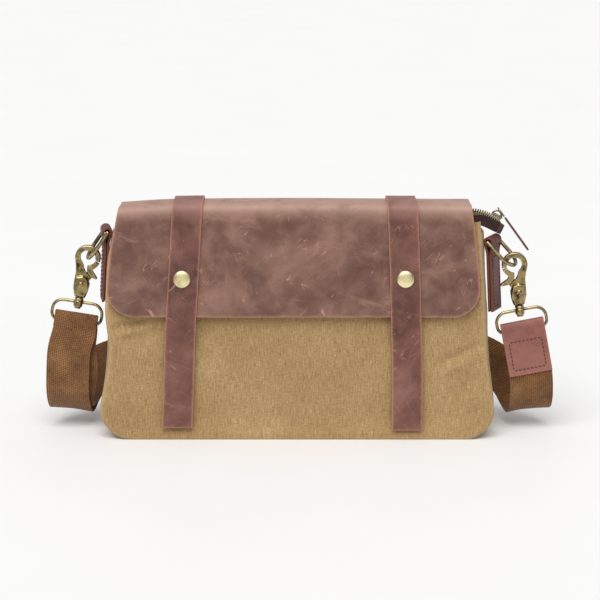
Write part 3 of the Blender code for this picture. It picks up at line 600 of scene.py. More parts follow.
def smooth_route(stations, steps):
    """Catmull-Rom through stations of any number of coordinates."""
    padded = [stations[0], *stations, stations[-1]]
    found = []
    for before, start, end, after in zip(padded, padded[1:], padded[2:], padded[3:]):
        p, q, r, s = (np.array(station, float) for station in (before, start, end, after))
        for i in range(steps):
            t = i / steps
            bend = (2 * p - 5 * q + 4 * r - s) * t**2 + (3 * q - p - 3 * r + s) * t**3
            found.append(0.5 * (2 * q + (r - p) * t + bend))
    found.append(np.array(stations[-1], float))
    return found


# One stitch: along its length, its half width and its lift, as shares of its length and its thread's radius
STITCH = (
    (-0.5, 0.35, -0.6),
    (-0.42, 0.8, 0.1),
    (-0.25, 1.0, 0.45),
    (0.25, 1.0, 0.45),
    (0.42, 0.8, 0.1),
    (0.5, 0.35, -0.6),
)
STITCH_PITCH, STITCH_LENGTH, THREAD_RADIUS, THREAD_SIDES = 3.4, 2.5, 0.36, 8


def stitches(name, start, end, normal, body):
    """Separate stitches from start to end, each one a short thread that dips into the sheet at both ends."""
    start, end = Vector(start), Vector(end)
    total = (end - start).length
    count = int(total / STITCH_PITCH)
    margin = (total - count * STITCH_PITCH) / 2
    ahead = (end - start).normalized()
    up = (normal - ahead * normal.dot(ahead)).normalized()
    side = ahead.cross(up)
    vertices, faces = [], []
    for k in range(count):
        middle = start.lerp(end, (margin + (k + 0.5) * STITCH_PITCH) / total)
        base = len(vertices)
        for along, wide, lift in STITCH:
            for angle in np.linspace(0, 2 * math.pi, THREAD_SIDES, endpoint=False):
                across = side * math.cos(angle) + up * math.sin(angle)
                spot = middle + ahead * (along * STITCH_LENGTH) + up * (lift * THREAD_RADIUS)
                vertices.append(tuple(spot + across * (wide * THREAD_RADIUS)))
        for ring in range(len(STITCH) - 1):
            for j in range(THREAD_SIDES):
                a, b = (base + ring * THREAD_SIDES + i for i in (j, (j + 1) % THREAD_SIDES))
                faces.append((a, b, b + THREAD_SIDES, a + THREAD_SIDES))
        last = base + (len(STITCH) - 1) * THREAD_SIDES
        faces.append(tuple(base + j for j in range(THREAD_SIDES - 1, -1, -1)))
        faces.append(tuple(last + j for j in range(THREAD_SIDES)))
    mesh = bpy.data.meshes.new(name)
    mesh.from_pydata(vertices, [], faces)
    finish_object(name, mesh, "thread", body)


def stitched_box(name, place, side, first, second, normal, body):
    """Four seams round a rectangle; place() turns its flat coordinates into points."""
    corners = [(-side, first), (side, first), (side, second), (-side, second), (-side, first)]
    for k, (start, end) in enumerate(zip(corners, corners[1:])):
        stitches(f"{name}_{k}", place(*start), place(*end), normal, body)


# ---------------------------------------------------------------- camera, floor and lights

CAMERA_DISTANCE = 1850.0
ELEVATION = math.radians(12.0)
TARGET = Vector((1.7, 0.0, 113.0))
FRAME_WIDTH = 504.0
SENSOR = 36.0


def add_camera():
    data = bpy.data.cameras.new("camera")
    data.sensor_width = SENSOR
    front = CAMERA_DISTANCE - HALF_DEPTH_BOTTOM * math.cos(ELEVATION)
    data.lens = SENSOR * front / FRAME_WIDTH
    data.clip_end = 100.0
    camera = placed("camera", data)
    way = Vector((0.0, -math.cos(ELEVATION), math.sin(ELEVATION)))
    camera.location = (TARGET + way * CAMERA_DISTANCE) * MM
    camera.rotation_euler = (math.pi / 2 - ELEVATION, 0.0, 0.0)
    bpy.context.scene.camera = camera


def add_floor():
    """A wide pale floor, which fills the view behind the bag as well."""
    reach, under = 30000.0, 0.05
    corners = [(x * reach, y * reach, -under) for x, y in ((-1, -1), (1, -1), (1, 1), (-1, 1))]
    mesh = bpy.data.meshes.new("floor")
    mesh.from_pydata(corners, [], [(0, 1, 2, 3)])
    mesh.transform(Matrix.Scale(MM, 4))
    mesh.shade_smooth()
    s = Shader("floor", roughness=0.55, specular=0.25)
    speckle = s.noise(s.place(), 0.004, 3.0)
    mesh.materials.append(s.finish(s.ramp(speckle, (0.3, (0.86, 0.86, 0.855)), (0.7, (0.88, 0.88, 0.875)))))
    placed("floor", mesh)


def add_dark_cards():
    """Two dark screens beside the camera, which only polished surfaces see."""
    surface = Shader("dark_card", roughness=1.0)
    material = surface.finish((0.012, 0.011, 0.010, 1.0))
    for side in (-1, 1):
        low, high = (side * 750, -100), (side * 620, 700)
        corners = [(x, y, z) for (x, z), y in ((low, -900), (low, -250), (high, -250), (high, -900))]
        mesh = bpy.data.meshes.new("card")
        mesh.from_pydata([tuple(Vector(corner) * MM) for corner in corners], [], [(0, 1, 2, 3)])
        card = placed(f"dark_card_{'left' if side < 0 else 'right'}", mesh)
        mesh.materials.append(material)
        card.visible_camera = False
        card.visible_diffuse = False
        card.visible_shadow = False


def add_studio():
    """One broad soft source above and in front, and an even white surround."""
    sun = bpy.data.lights.new("overhead_bank", "SUN")
    sun.energy = 2.3
    sun.angle = math.radians(50.0)
    placed("overhead_bank", sun).rotation_euler = (math.radians(32.0), math.radians(-8.0), 0.0)
    world = bpy.data.worlds.new("studio")
    world.use_nodes = True
    background = world.node_tree.nodes["Background"]
    background.inputs["Color"].default_value = (1.0, 1.0, 1.0, 1.0)
    background.inputs["Strength"].default_value = 0.55
    bpy.context.scene.world = world
    bpy.context.scene.view_settings.view_transform = "Standard"


# ---------------------------------------------------------------- shoulder strap


def side_down(name):
    tilt = math.radians(LOOP_TILT[name])
    return Vector((math.sin(tilt), 0.0, -math.cos(tilt)))


def side_across(name):
    tilt = math.radians(LOOP_TILT[name])
    return Vector((math.cos(tilt), 0.0, math.sin(tilt)))


def loop_fold(name):
    """Middle of the fold round a loop, which stands above the loop's bar."""
    return LOOP_BAR[name] - side_down(name) * FOLD_RISE


def webbing_stations():
    """Middle of the webbing from its sewn end on the right to the left loop, as x, y, z and a turn.

    The turn is 0 when the width lies along X and 90 when it stands upright.
    """
    down = side_down("right")
    start = loop_fold("right") + down * (FOLD_RISE + 5.0)
    below = loop_fold("right") + down * PATCH_LENGTH
    top = loop_fold("left") - Vector((0, LOOP_BEND, 0))
    y_right, y_left = start.y, top.y
    tilt = LOOP_TILT["right"]
    left_down = side_down("left")
    laps = (
        (-10.0, 54.0), (-60.0, 54.0), (-86.0, 54.5), (-94.0, 59.0), (-94.0, 67.0),
        (-86.0, 71.5), (-60.0, 72.0), (0.0, 72.0), (62.0, 72.5), (70.0, 77.0),
        (71.0, 87.0), (63.0, 92.0), (40.0, 93.5), (0.0, ADJUSTER.y + 3.7), (ADJUSTER.x, ADJUSTER.y + 3.7),
    )
    return [
        (start.x, y_right, start.z, tilt),
        ((start.x + below.x) / 2, y_right, (start.z + below.z) / 2, tilt),
        (below.x, y_right, below.z, tilt - 2),
        (below.x + 1.2, y_right + 1.5, 33.0, 6),
        (below.x + 0.8, y_right + 9.0, 20.0, 4),
        (below.x - 1.0, y_right + 19.0, 16.5, 8),
        (below.x - 5.0, y_right + 30.0, 22.0, 18),
        (186.0, 32.0, 36.0, 34),
        (169.0, 46.5, 49.0, 52),
        (147.0, 55.5, 55.0, 68),
        (120.0, 58.0, 51.0, 80),
        (92.0, 57.0, 40.0, 86),
        (62.0, 55.0, 29.0, 90),
        (30.0, 54.0, LANE_Z + 1.0, 90),
        *((x, y, LANE_Z, 90) for x, y in laps),
        (-95.0, 92.5, 25.0, 92),
        (-122.0, 84.0, 34.0, 98),
        (-146.0, 72.0, 43.0, 108),
        (-167.0, 58.0, 45.0, 122),
        (-183.0, 42.5, 37.0, 140),
        (-191.5, 27.5, 25.0, 158),
        (-195.0, 14.0, 17.0, 170),
        (-197.5, 4.0, 17.5, 175),
        (-198.5, y_left + 2.0, 31.0, 175),
        (-198.0, y_left, 50.0, 174),
        (-196.5, y_left, 70.0, 173),
        (*(top + left_down * 14.0), 171),
        (*(top + left_down * 6.0), 171),
        (*(top + left_down * 2.0), 171),
        (*top, 171),
    ]


def band_frames(stations):
    """For each station the middle, the direction across the width and the direction through the thickness."""
    places = [Vector(station[:3]) for station in stations]
    frames = []
    for i, (place, station) in enumerate(zip(places, stations)):
        ahead = (places[min(i + 1, len(places) - 1)] - places[max(i - 1, 0)]).normalized()
        turn = math.radians(station[3])
        wide = Vector((math.cos(turn), 0, math.sin(turn)))
        wide = (wide - ahead * wide.dot(ahead)).normalized()
        frames.append((place, wide, ahead.cross(wide)))
    return frames


def webbing_frames():
    """The webbing from its sewn end on the right to the left loop, round its bar and back to the adjuster."""
    out = band_frames(smooth_route(webbing_stations(), 6))
    down = side_down("left")
    around = []
    last_wide = out[-1][1]
    for a, b in arc((0, 0), LOOP_BEND, 180, 0, 17)[1:-1]:
        thick = (Vector((0, a, 0)) - down * b) / LOOP_BEND
        around.append((loop_fold("left") + thick * LOOP_BEND, last_wide, thick))
    back = []
    start = max(i for i, item in enumerate(out) if item[0].y > ADJUSTER.y and item[0].x > ADJUSTER.x - 2)
    for i in range(len(out) - 1, start - 1, -1):
        place, wide, thick = out[i]
        height = place.z / loop_fold("left").z if place.y < 12 else 0.0
        aside = RETURN_SHIFT * math.sin(math.pi * unit(height)) ** 2
        spread = 2 * LOOP_BEND + RETURN_SPREAD * unit(place.y / 60)
        back.append((place - thick * spread - wide * aside, wide, -thick))
    return out + around + back


def add_webbing():
    """One length of webbing with rounded selvedges, as a closed band along its frames."""
    frames = webbing_frames()
    half = WEB_WIDTH / 2
    distances = edge_spacing(WEB_WIDTH, SHEET_STEP, (0.0, 0.12, 0.4, 0.9, 1.6))
    travelled, last = 0.0, frames[0][0]
    rows = []
    for place, wide, thick in frames:
        travelled += (place - last).length
        last = place
        row = []
        for d in distances:
            shade = 0.25 * ripple(travelled, d, 0.0, 9.0, 3.0)
            point = place + wide * (d - half) + thick * (WEB / 2 + shade * 0.3)
            row.append((*point, d, travelled, min(d, WEB_WIDTH - d)))
        rows.append(row)
    mesh = thick_sheet("webbing_band", *sheet_arrays(rows), WEB, tuple(frames[0][2]), 0.7)
    band = finish_object("webbing_band", mesh, "webbing", "shoulder_strap", ["strap_webbing"])
    return band, travelled


# ---------------------------------------------------------------- canvas body


def half_depth(z):
    return HALF_DEPTH_BOTTOM + (HALF_DEPTH_TOP - HALF_DEPTH_BOTTOM) * z / BODY_HEIGHT


def half_width(z):
    return HALF_WIDTH_CORNER - TAPER * (z - CORNER_RADIUS)


def side_flare(x, z, share):
    """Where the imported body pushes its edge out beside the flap; share is 0 at the back and 1 in front."""
    upper = 5.5 * bell(z - 128.0, 38.0, 4) if x < 0 else 0.0
    lower = (5.0 if x < 0 else 3.6) * bell(z - 26.0, 24.0)
    return math.copysign((upper + lower) * max(0.0, share) ** 1.5, x) * max(0.0, (abs(x) - 110.0) / 50.0)


def crease(x, z, start, end, width, depth):
    """A soft groove along a line on the panel, fading at its ends."""
    ax, az = start
    bx, bz = end
    span = math.hypot(bx - ax, bz - az)
    t = ((x - ax) * (bx - ax) + (z - az) * (bz - az)) / span**2
    off = ((x - ax) * (bz - az) - (z - az) * (bx - ax)) / span
    fade = math.exp(-((2.2 * (t - 0.5)) ** 4))
    return depth * fade * (bell(off, width) - 0.8 * bell(off - 2.2 * width, width))


# Creases of the front panel: ends as (x, z), width and depth
FRONT_CREASES = (
    ((116.0, 62.0), (160.0, 84.0), 3.4, 2.6),
    ((130.0, 36.0), (160.0, 58.0), 6.0, 1.6),
    ((-162.0, 92.0), (-126.0, 102.0), 2.8, 3.3),
    ((-157.0, 60.0), (-136.0, 34.0), 6.0, 0.8),
    ((-80.0, 30.0), (-20.0, 16.0), 8.0, 0.7),
    ((10.0, 20.0), (75.0, 26.0), 8.0, 0.6),
    ((-60.0, 88.0), (10.0, 74.0), 12.0, 0.5),
)


def panel_swell(x, z, edge, side):
    """How far the canvas stands out from the CAD panel; it stays low near the panel's edges."""
    room = min(1.0, max(0.0, edge) / 14.0)
    swell = 0.7 * ripple(x, side * 5.0, z, 70.0, 1.7) + 0.35 * ripple(x, side * 3.0, z, 24.0, 5.1)
    swell += 0.12 * ripple(x, side * 3.0, z, 8.0, 9.4)
    if side < 0:
        for start, end, width, depth in FRONT_CREASES:
            swell -= crease(x, z, start, end, width, depth)
    return swell * room


def seam_ridge(edge):
    """The seam allowance under the cloth: a low step that runs round the panel beside its seam."""
    step = 1.0 / (1.0 + math.exp((edge - SEAM_RIDGE) / 0.45))
    groove = bell(edge - SEAM_RIDGE - 0.9, 0.9)
    return 0.55 * step - 0.35 * groove


def between(values, rows, columns, shape):
    """Values known at some rows and columns of a grid, carried to all of them."""
    wide = np.stack([np.interp(np.arange(shape[1]), columns, row) for row in values])
    return np.stack([np.interp(np.arange(shape[0]), rows, column) for column in wide.T], axis=1)


CLOTH = {
    "quality": 8,
    "mass": 0.25,
    "tension_stiffness": 30.0,
    "compression_stiffness": 30.0,
    "shear_stiffness": 12.0,
    "bending_stiffness": 1.2,
    "air_damping": 3.0,
    "shrink_min": -0.006,
}


def settled(grid, held):
    """The sheet after a short cloth simulation: cut a little too large, it sags where it isn't held.
    """
    rows = np.unique(np.append(np.arange(0, grid.shape[0], 2), grid.shape[0] - 1))
    columns = np.unique(np.append(np.arange(0, grid.shape[1], 2), grid.shape[1] - 1))
    coarse = grid[np.ix_(rows, columns)] * MM
    grip = held[np.ix_(rows, columns)].ravel()
    high, wide = coarse.shape[:2]
    faces = []
    for i in range(high - 1):
        for j in range(wide - 1):
            corner = i * wide + j
            faces.append((corner, corner + 1, corner + wide + 1, corner + wide))
    mesh = bpy.data.meshes.new("cloth_sheet")
    mesh.from_pydata([tuple(point) for point in coarse.reshape(-1, 3)], [], faces)
    sheet = placed("cloth_sheet", mesh)
    group = sheet.vertex_groups.new(name="held")
    for index, weight in enumerate(grip):
        group.add([index], float(weight), "REPLACE")
    modifier = sheet.modifiers.new("cloth", "CLOTH")
    modifier.settings.vertex_group_mass = "held"
    for setting, value in CLOTH.items():
        setattr(modifier.settings, setting, value)
    modifier.point_cache.frame_start = 1
    modifier.point_cache.frame_end = SETTLE_FRAMES
    scene = bpy.context.scene
    for frame_number in range(1, SETTLE_FRAMES + 1):
        scene.frame_set(frame_number)
    found = sheet.evaluated_get(bpy.context.evaluated_depsgraph_get()).data
    moved = np.empty(len(found.vertices) * 3)
    found.vertices.foreach_get("co", moved)
    scene.frame_set(1)
    change = (moved.reshape(high, wide, 3) - coarse) / MM
    bpy.data.objects.remove(sheet)
    bpy.data.meshes.remove(mesh)
    change = SETTLE_LIMIT * np.tanh(change / SETTLE_LIMIT)
    return grid + np.stack([between(change[:, :, k], rows, columns, grid.shape) for k in range(3)], axis=2)


def panel_hold(grid, edges):
    """Where a panel is held while it settles: at its seams, under the flap and round the snap studs."""
    x, z = grid[:, :, 0], grid[:, :, 2]
    held = np.clip(1.0 - (edges - 7.0) / 4.0, 0.0, 1.0)
    held = np.maximum(held, np.clip((z - FLAP_BOTTOM_Z - 6.0) / 30.0, 0.0, 0.9))
    for _, _, snap_x, _, _ in STRAPS:
        held = np.maximum(held, np.hypot(x - snap_x, z - SNAP_Z) < 14.0)
    return held


def add_panel(name, side, node):
    rim = (0.0, 0.3, 0.8, 1.4, 2.1, 3.0, 4.2, 5.4, 6.2, 7.0, 7.8, 9.0)
    heights = edge_spacing(2 * BODY_HEIGHT, SHEET_STEP, rim)
    heights = heights[heights <= BODY_HEIGHT + 1e-6]
    if heights[-1] < BODY_HEIGHT:
        heights = np.append(heights, BODY_HEIGHT)
    rows = []
    columns = edge_spacing(2 * half_width(BODY_HEIGHT / 2), SHEET_STEP, rim)
    middle_columns = columns[len(rim) - 1 : -(len(rim) - 1)] - columns[len(rim) - 1]
    middle_share = middle_columns / middle_columns[-1]
    for z in heights:
        wide = half_width(max(z, CORNER_RADIUS))
        inset = float(corner_inset(z, CORNER_RADIUS))
        span = 2 * (wide - inset)
        inner = rim[-1] + (span - 2 * rim[-1]) * middle_share
        distances = np.concatenate([rim[:-1], inner, span - np.array(rim[:-1])[::-1]])
        row = []
        for d in distances:
            x = -wide + inset + d
            edge = float(corner_distance(wide + x, wide - x, z, CORNER_RADIUS))
            roll = SEAM_ROLL - math.sqrt(max(0.0, SEAM_ROLL**2 - max(0.0, SEAM_ROLL - edge) ** 2))
            roll *= 0.35 + 0.65 * min(1.0, z / 12.0)
            out = half_depth(z) - roll + seam_ridge(edge) * min(1.0, edge / 2.0)
            out += panel_swell(x, z, edge, side)
            flare = side_flare(x, z, 1.0) if side < 0 else 0.0
            row.append((x + flare, side * out, z, x + MAP_START, z, edge))
        rows.append(row)
    grid, uv, edges = sheet_arrays(rows)
    grid = settled(grid, panel_hold(grid, edges))
    mesh = thick_sheet(name, grid, uv, edges, CANVAS, (0, side, 0), 0.4)
    return finish_object(name, mesh, "canvas", "root", [node])


def gusset_line():
    """The U of the front view with its outward normals and its length, from the left top to the right top."""
    side = half_width(CORNER_RADIUS)
    left = arc((-side + CORNER_RADIUS, CORNER_RADIUS), CORNER_RADIUS, 180, 270, 14)
    right = arc((side - CORNER_RADIUS, CORNER_RADIUS), CORNER_RADIUS, 270, 360, 14)
    down = [(-half_width(z), z) for z in np.linspace(ZIP_END_Z, CORNER_RADIUS + 3, 44)]
    up = [(half_width(z), z) for z in np.linspace(CORNER_RADIUS + 3, ZIP_END_Z, 44)]
    along = [(x, 0.0) for x in np.linspace(-side + CORNER_RADIUS + 4, side - CORNER_RADIUS - 4, 70)]
    line = [np.array(point) for point in down + left + along + right + up]
    found, travelled = [], 0.0
    for i, point in enumerate(line):
        ahead = line[min(i + 1, len(line) - 1)] - line[max(i - 1, 0)]
        ahead = ahead / np.linalg.norm(ahead)
        travelled += float(np.linalg.norm(point - line[max(i - 1, 0)]))
        found.append((point, np.array((ahead[1], -ahead[0])), travelled))
    return found


def add_gusset():
    """The strip that joins the two panels: down one side, under the bag and up the other."""
    shares = np.linspace(-1, 1, 33)
    rows = []
    for (x, z), normal, travelled in gusset_line():
        reach = half_depth(z) - SEAM_ROLL * (0.35 + 0.65 * min(1.0, z / 12.0)) + 0.4
        lift = unit((z - 4.0) / 30.0)
        row = []
        for share in shares:
            y = share * reach
            bulge = 3.2 * (1 - share**2) * lift
            bulge -= 1.4 * bell(share, 0.16) * lift * unit((z - 60) / 60)
            uneven = 0.8 * ripple(x, y, z, 30.0, 2.2) + 0.3 * ripple(x, y, z, 11.0, 7.7)
            bulge += uneven * lift * (1 - share**4)
            bulge -= 0.5 * bell(reach - abs(y), 1.1) * lift
            flare = side_flare(x, z, 0.5 - 0.5 * share)
            point = (x + normal[0] * bulge + flare, y, max(0.0, z + normal[1] * bulge))
            row.append((*point, travelled, y + 45.0, reach - abs(y) + 0.5))
        rows.append(row)
    mesh = thick_sheet("canvas_gusset", *sheet_arrays(rows), CANVAS, (-1, 0, 0), 0.3)
    return finish_object("canvas_gusset", mesh, "canvas", "root", ["side_gusset"])


# ---------------------------------------------------------------- flap and its straps


def over_path(layer, low_z, back_z):
    """Outer line of a leather layer over the bag, as (y, z): up the back, over the top, down the front."""
    out = LEATHER + layer * LAYER
    top_z = FLAP_TOP_Z + layer * LAYER
    radius = FOLD_RADIUS + layer * LAYER

    def back_y(z):
        return half_depth(z) + GAP + out

    def front_y(z):
        return -half_depth(z) - FLAP_CLEARANCE - out

    line = [Vector((back_y(z), z, 0)) for z in (back_z, top_z)]
    line += [Vector((front_y(z), z, 0)) for z in (top_z, low_z)]
    found = [line[0]]
    for before, corner, after in zip(line, line[1:], line[2:]):
        first, second = (before - corner).normalized(), (after - corner).normalized()
        half = first.angle(second) / 2
        reach = radius / math.tan(half)
        centre = corner + (first + second).normalized() * (radius / math.sin(half))
        start, end = corner + first * reach - centre, corner + second * reach - centre
        sweep = start.angle(end)
        turn = 1.0 if start.cross(end).z > 0 else -1.0
        for i in range(13):
            found.append(centre + Matrix.Rotation(turn * sweep * i / 12, 3, "Z") @ start)
    found.append(line[-1])
    return [(point.x, point.y) for point in found]


def resampled(line, step, rim_start, rim_end):
    """Points along a line at the rim distances near its ends and at about that step between them."""
    line = [np.array(point) for point in line]
    lengths = np.concatenate([[0.0], np.cumsum([np.linalg.norm(b - a) for a, b in zip(line, line[1:])])])
    total = lengths[-1]
    low, high = rim_start[-1], total - rim_end[-1]
    inner = np.linspace(low, high, round((high - low) / step) + 1)
    wanted = np.concatenate([rim_start[:-1], inner, total - np.array(rim_end[:-1])[::-1]])
    values = [np.interp(wanted, lengths, [point[k] for point in line]) for k in range(len(line[0]))]
    return wanted, np.stack(values, axis=1), total


def flap_side(z, y, sign):
    """x of the flap's side edge; the front part widens downward."""
    high = TOP_LOW.x if sign < 0 else TOP_HIGH.x
    if y > -10.0:
        return high
    share = unit((FOLD_Z - z) / (FOLD_Z - FLAP_BOTTOM_Z))
    return high + sign * FLAP_SPREAD[sign] * math.sin(share * math.pi / 2)


def crown(x):
    """How the bag's top line rises in the middle and sinks at its left end."""
    return 0.9 * bell(x + 10.0, 90.0) - 2.6 * bell(x + 158.0, 32.0)


BACK_START, BACK_END = (0.0, 21.0, 185.0), (0.0, 9.0, 199.0)
FRONT_START, FRONT_END = (0.0, -9.0, 199.0), (0.0, -24.0, 184.0)


def fold_rub_and_highlight(line, columns):
    """How pale the leather is made toward the top, most on the two folds and a little across the top: partly real
    rubbing, partly a painted highlight where the top bend catches the light from above.
    """
    height = np.clip((line[:, 1] - (FLAP_TOP_Z - 16.0)) / 14.0, 0.0, 1.0)
    return np.repeat((height**1.5)[:, None], columns, axis=1)


def split_and_blend(name, grid, uv, edge, worn, material, nodes, middle):
    """The rear and front halves of one leather piece, which go round the back and the front fold; the piece is
    split at the middle of its top, and neither half is attached to a body.
    """
    halves = (
        ("rear", slice(0, middle + 1), "root", "flap_top", BACK_START, BACK_END, (0, 1, 0)),
        ("fore", slice(middle, None), "flap_top", "flap_front", FRONT_START, FRONT_END, (0, 0, 1)),
    )
    made = []
    for part, rows, first, second, start, end, facing in halves:
        title = f"{name}_{part}"
        mesh = thick_sheet(title, grid[rows], uv[rows], edge[rows], LEATHER, facing, worn=worn[rows])
        obj = finish_object(title, mesh, material, None, nodes[part])
        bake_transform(obj)
        made.append(obj)
    return made


def add_flap():
    wanted, line, total = resampled(over_path(0, FLAP_BOTTOM_Z, FLAP_BACK_Z), 2.2, LEATHER_RIM, LEATHER_RIM)
    step_share = None
    rows = []
    rim = np.array(LEATHER_RIM)
    for s, (y, z) in zip(wanted, line):
        left, right = flap_side(z, y, -1), flap_side(z, y, 1)
        to_end = total - s
        inset = float(corner_inset(to_end, FLAP_CORNER)) if y < 0 else 0.0
        span = right - left - 2 * inset
        if step_share is None:
            step_share = np.linspace(0, 1, round((span - 2 * rim[-1]) / 2.4) + 1)
        inner = rim[-1] + (span - 2 * rim[-1]) * step_share
        distances = np.concatenate([rim[:-1], inner, span - rim[:-1][::-1]])
        row = []
        for d in distances:
            x = left + inset + d
            if y < 0:
                edge = float(corner_distance(x - left, right - x, to_end, FLAP_CORNER))
            else:
                edge = min(x - left, right - x, s)
            hang = unit((FLAP_TOP_Z - 12 - z) / 60) if y < 0 else 0.0
            wave = hang * (0.9 * ripple(x, 0.0, z * 0.4, 75.0, 4.4) + 0.35 * ripple(x, 0.0, z, 28.0, 8.8))
            wave += 0.9 * hang * math.exp(-edge / 9.0)
            top = unit((z - 160.0) / 36.0)
            row.append((x, y - max(wave, -0.6), z + crown(x) * top, x + MAP_START, s, edge))
        rows.append(row)
    middle = int(np.argmin(np.abs(line[:, 0] + 1.0)))
    nodes = {"rear": ["flap_back", "flap_top"], "fore": ["flap_front"]}
    # Rubbing and painted highlight toward the top of the flap.
    worn = fold_rub_and_highlight(line, len(rows[0]))
    split_and_blend("flap_leather", *sheet_arrays(rows), worn, "flap", nodes, middle)


def strap_middle(top_x, snap_x, end_x, end_z, z):
    """x of a strap's middle: a gentle bow through its places at the fold, the snap and the end."""
    heights = (FOLD_Z, SNAP_Z, end_z)
    found = 0.0
    for i, value in enumerate((top_x, snap_x, end_x)):
        others = [h for j, h in enumerate(heights) if j != i]
        weight = (z - others[0]) * (z - others[1]) / ((heights[i] - others[0]) * (heights[i] - others[1]))
        found += value * weight
    return found


def add_strap(name, top_x, snap_x, end_x, end_z):
    wanted, line, total = resampled(over_path(1, end_z, FLAP_BACK_Z + 6), 2.2, LEATHER_RIM, LEATHER_RIM)
    distances = edge_spacing(STRAP_WIDTH, SHEET_STEP, LEATHER_RIM)
    rows = []
    for s, (y, z) in zip(wanted, line):
        middle_x = strap_middle(top_x, snap_x, end_x, end_z, z) if y < 0 else top_x
        below = unit((FLAP_BOTTOM_Z + 4 - z) / 30.0)
        settle = 3.0 * below * below * (3 - 2 * below) if y < 0 else 0.0
        sway = 0.5 * ripple(0.0, middle_x, z, 60.0, 6.1) if y < 0 else 0.0
        row = []
        for d in distances:
            x = middle_x - STRAP_WIDTH / 2 + d
            cup = 0.35 * ((d / STRAP_WIDTH - 0.5) * 2) ** 2 * below
            lift = 0.25 * ripple(x, 0.0, z, 18.0, 3.3)
            top = unit((z - 160.0) / 36.0)
            point = (x + sway, y + settle - cup - (lift if y < 0 else 0.0), z + crown(x) * top)
            row.append((*point, x + MAP_START, s, min(d, STRAP_WIDTH - d, s, total - s)))
        rows.append(row)
    middle = int(np.argmin(np.abs(line[:, 0] + 1.0)))
    nodes = {"rear": [f"strap_{name}_back", f"strap_{name}_top"], "fore": [f"strap_{name}_front"]}
    # Rubbing and painted highlight toward the top of the strap, weaker than on the flap.
    worn = 0.6 * fold_rub_and_highlight(line, len(rows[0]))
    split_and_blend(f"strap_{name}", *sheet_arrays(rows), worn, "strap", nodes, middle)


# ---------------------------------------------------------------- fastenings and sewn fittings


def add_snap_cap(name):
    """A domed cap with a rolled rim, where the CAD cap sits on its strap."""
    node = f"snap_cap_{name}"
    low, high = box_mm(node)
    middle = (low + high) / 2
    lean = math.atan2(HALF_DEPTH_BOTTOM - HALF_DEPTH_TOP, BODY_HEIGHT)
    turn = Matrix.Rotation(-lean, 3, "X")
    rise = 2.7
    rim = ((0.0, 0.9), (0.1, 0.25), (0.5, 0.0), (0.95, 0.2))
    profile = [(-rise / 2 + up, SNAP_RADIUS - inward) for up, inward in rim]
    for share in np.linspace(0.1, 0.98, 12):
        radius = (SNAP_RADIUS - 0.4) * math.cos(share * math.pi / 2)
        profile.append((rise / 2 - (rise - 1.15) * (1 - math.sin(share * math.pi / 2)), radius))
    rings = []
    for out, radius in profile:
        ring = []
        for angle in np.linspace(0, 2 * math.pi, 48, endpoint=False):
            spot = Vector((radius * math.cos(angle), -out, radius * math.sin(angle)))
            ring.append(tuple(middle + turn @ spot))
        rings.append(ring)
    work = bmesh.new()
    add_rings(work, rings)
    mesh = mesh_of(work, "snap")
    finish_object(f"snap_dome_{name}", mesh, "pale_brass", "flap_front", [node], 180.0)


def folded_strip(name, path, place, width, thickness, facing, material, body, replaced, slot="tab_leather"):
    """A leather strip whose outer line follows path; place() turns its pairs into points across the width."""
    wanted, line, total = resampled(path, 1.6, LEATHER_RIM, LEATHER_RIM)
    rows = []
    for s, (a, b) in zip(wanted, line):
        spaced = edge_spacing(width, 1.8, LEATHER_RIM)
        rows.append([(*place(a, b, d - width / 2), d, s, min(d, width - d, s, total - s)) for d in spaced])
    mesh = thick_sheet(name, *sheet_arrays(rows), thickness, facing, 0.6)
    return finish_object(name, mesh, material, body, replaced)


def add_patch():
    """The leather end of the strap, folded over the right loop and sewn in a rectangle."""
    outer, thickness = LOOP_WIRE + 2.5, 2.0
    fold, down, across = loop_fold("right"), side_down("right"), side_across("right")
    path = [(-outer, -PATCH_LENGTH)] + arc((0, 0), outer, 180, 0, 15) + [(outer, -PATCH_LENGTH)]

    def place(y, up, wide):
        return fold + across * wide + Vector((0, y, 0)) - down * up

    strip = (WEB_WIDTH + 0.2, thickness, (0, -1, 0), "patch", "shoulder_strap", ["strap_end_leather"])
    folded_strip("strap_patch", path, place, *strip)
    for face, sign in (("front", -1), ("back", 1)):
        seam = (14.0, -13.0, -38.0, Vector((0, sign, 0)), "shoulder_strap")
        stitched_box(f"patch_stitches_{face}", lambda u, v: place(sign * outer, v, u), *seam)


# Side tabs and rings: middle of the ring's bar, yaw of the tab, as in the CAD part
TABS = {"right": (1, Vector((165.6, -3.5, 165.6)), 24.0), "left": (-1, Vector((-163.0, -3.5, 174.2)), 9.0)}
TAB_WIDTH = 24.0
TAB_LENGTH = 60.0


def add_tab(name):
    """A leather tab folded over the ring's bar and sewn through below it."""
    sign, bar, yaw = TABS[name]
    yaw = math.radians(yaw)
    lean = math.atan(TAPER)
    way = Vector((sign * math.sin(yaw), math.cos(yaw), 0))
    outward = Vector((sign * math.cos(yaw), -math.sin(yaw), 0))
    down = (outward * math.sin(lean) - Vector((0, 0, math.cos(lean)))).normalized()
    half, curl = 2.4, 4.6
    neck = [(half, -12.0), (half + 0.2, -9.0), (half + 0.9, -6.0)]
    path = [(half, -TAB_LENGTH)] + neck + arc((0, 0), curl, -32, 212, 17)
    path += [(-a, b) for a, b in neck[::-1]] + [(-half, -TAB_LENGTH)]

    def place(a, b, wide):
        return bar + way * wide + outward * a - down * b

    strip = (TAB_WIDTH - 2.0, 2.2, tuple(outward), "tab", "root", [f"side_tab_{name}"])
    folded_strip(f"tab_leather_{name}", path, place, *strip)
    stitched_box(f"tab_stitches_{name}", lambda u, v: place(half, v, u), 8.0, -13.0, -56.0, outward, "root")


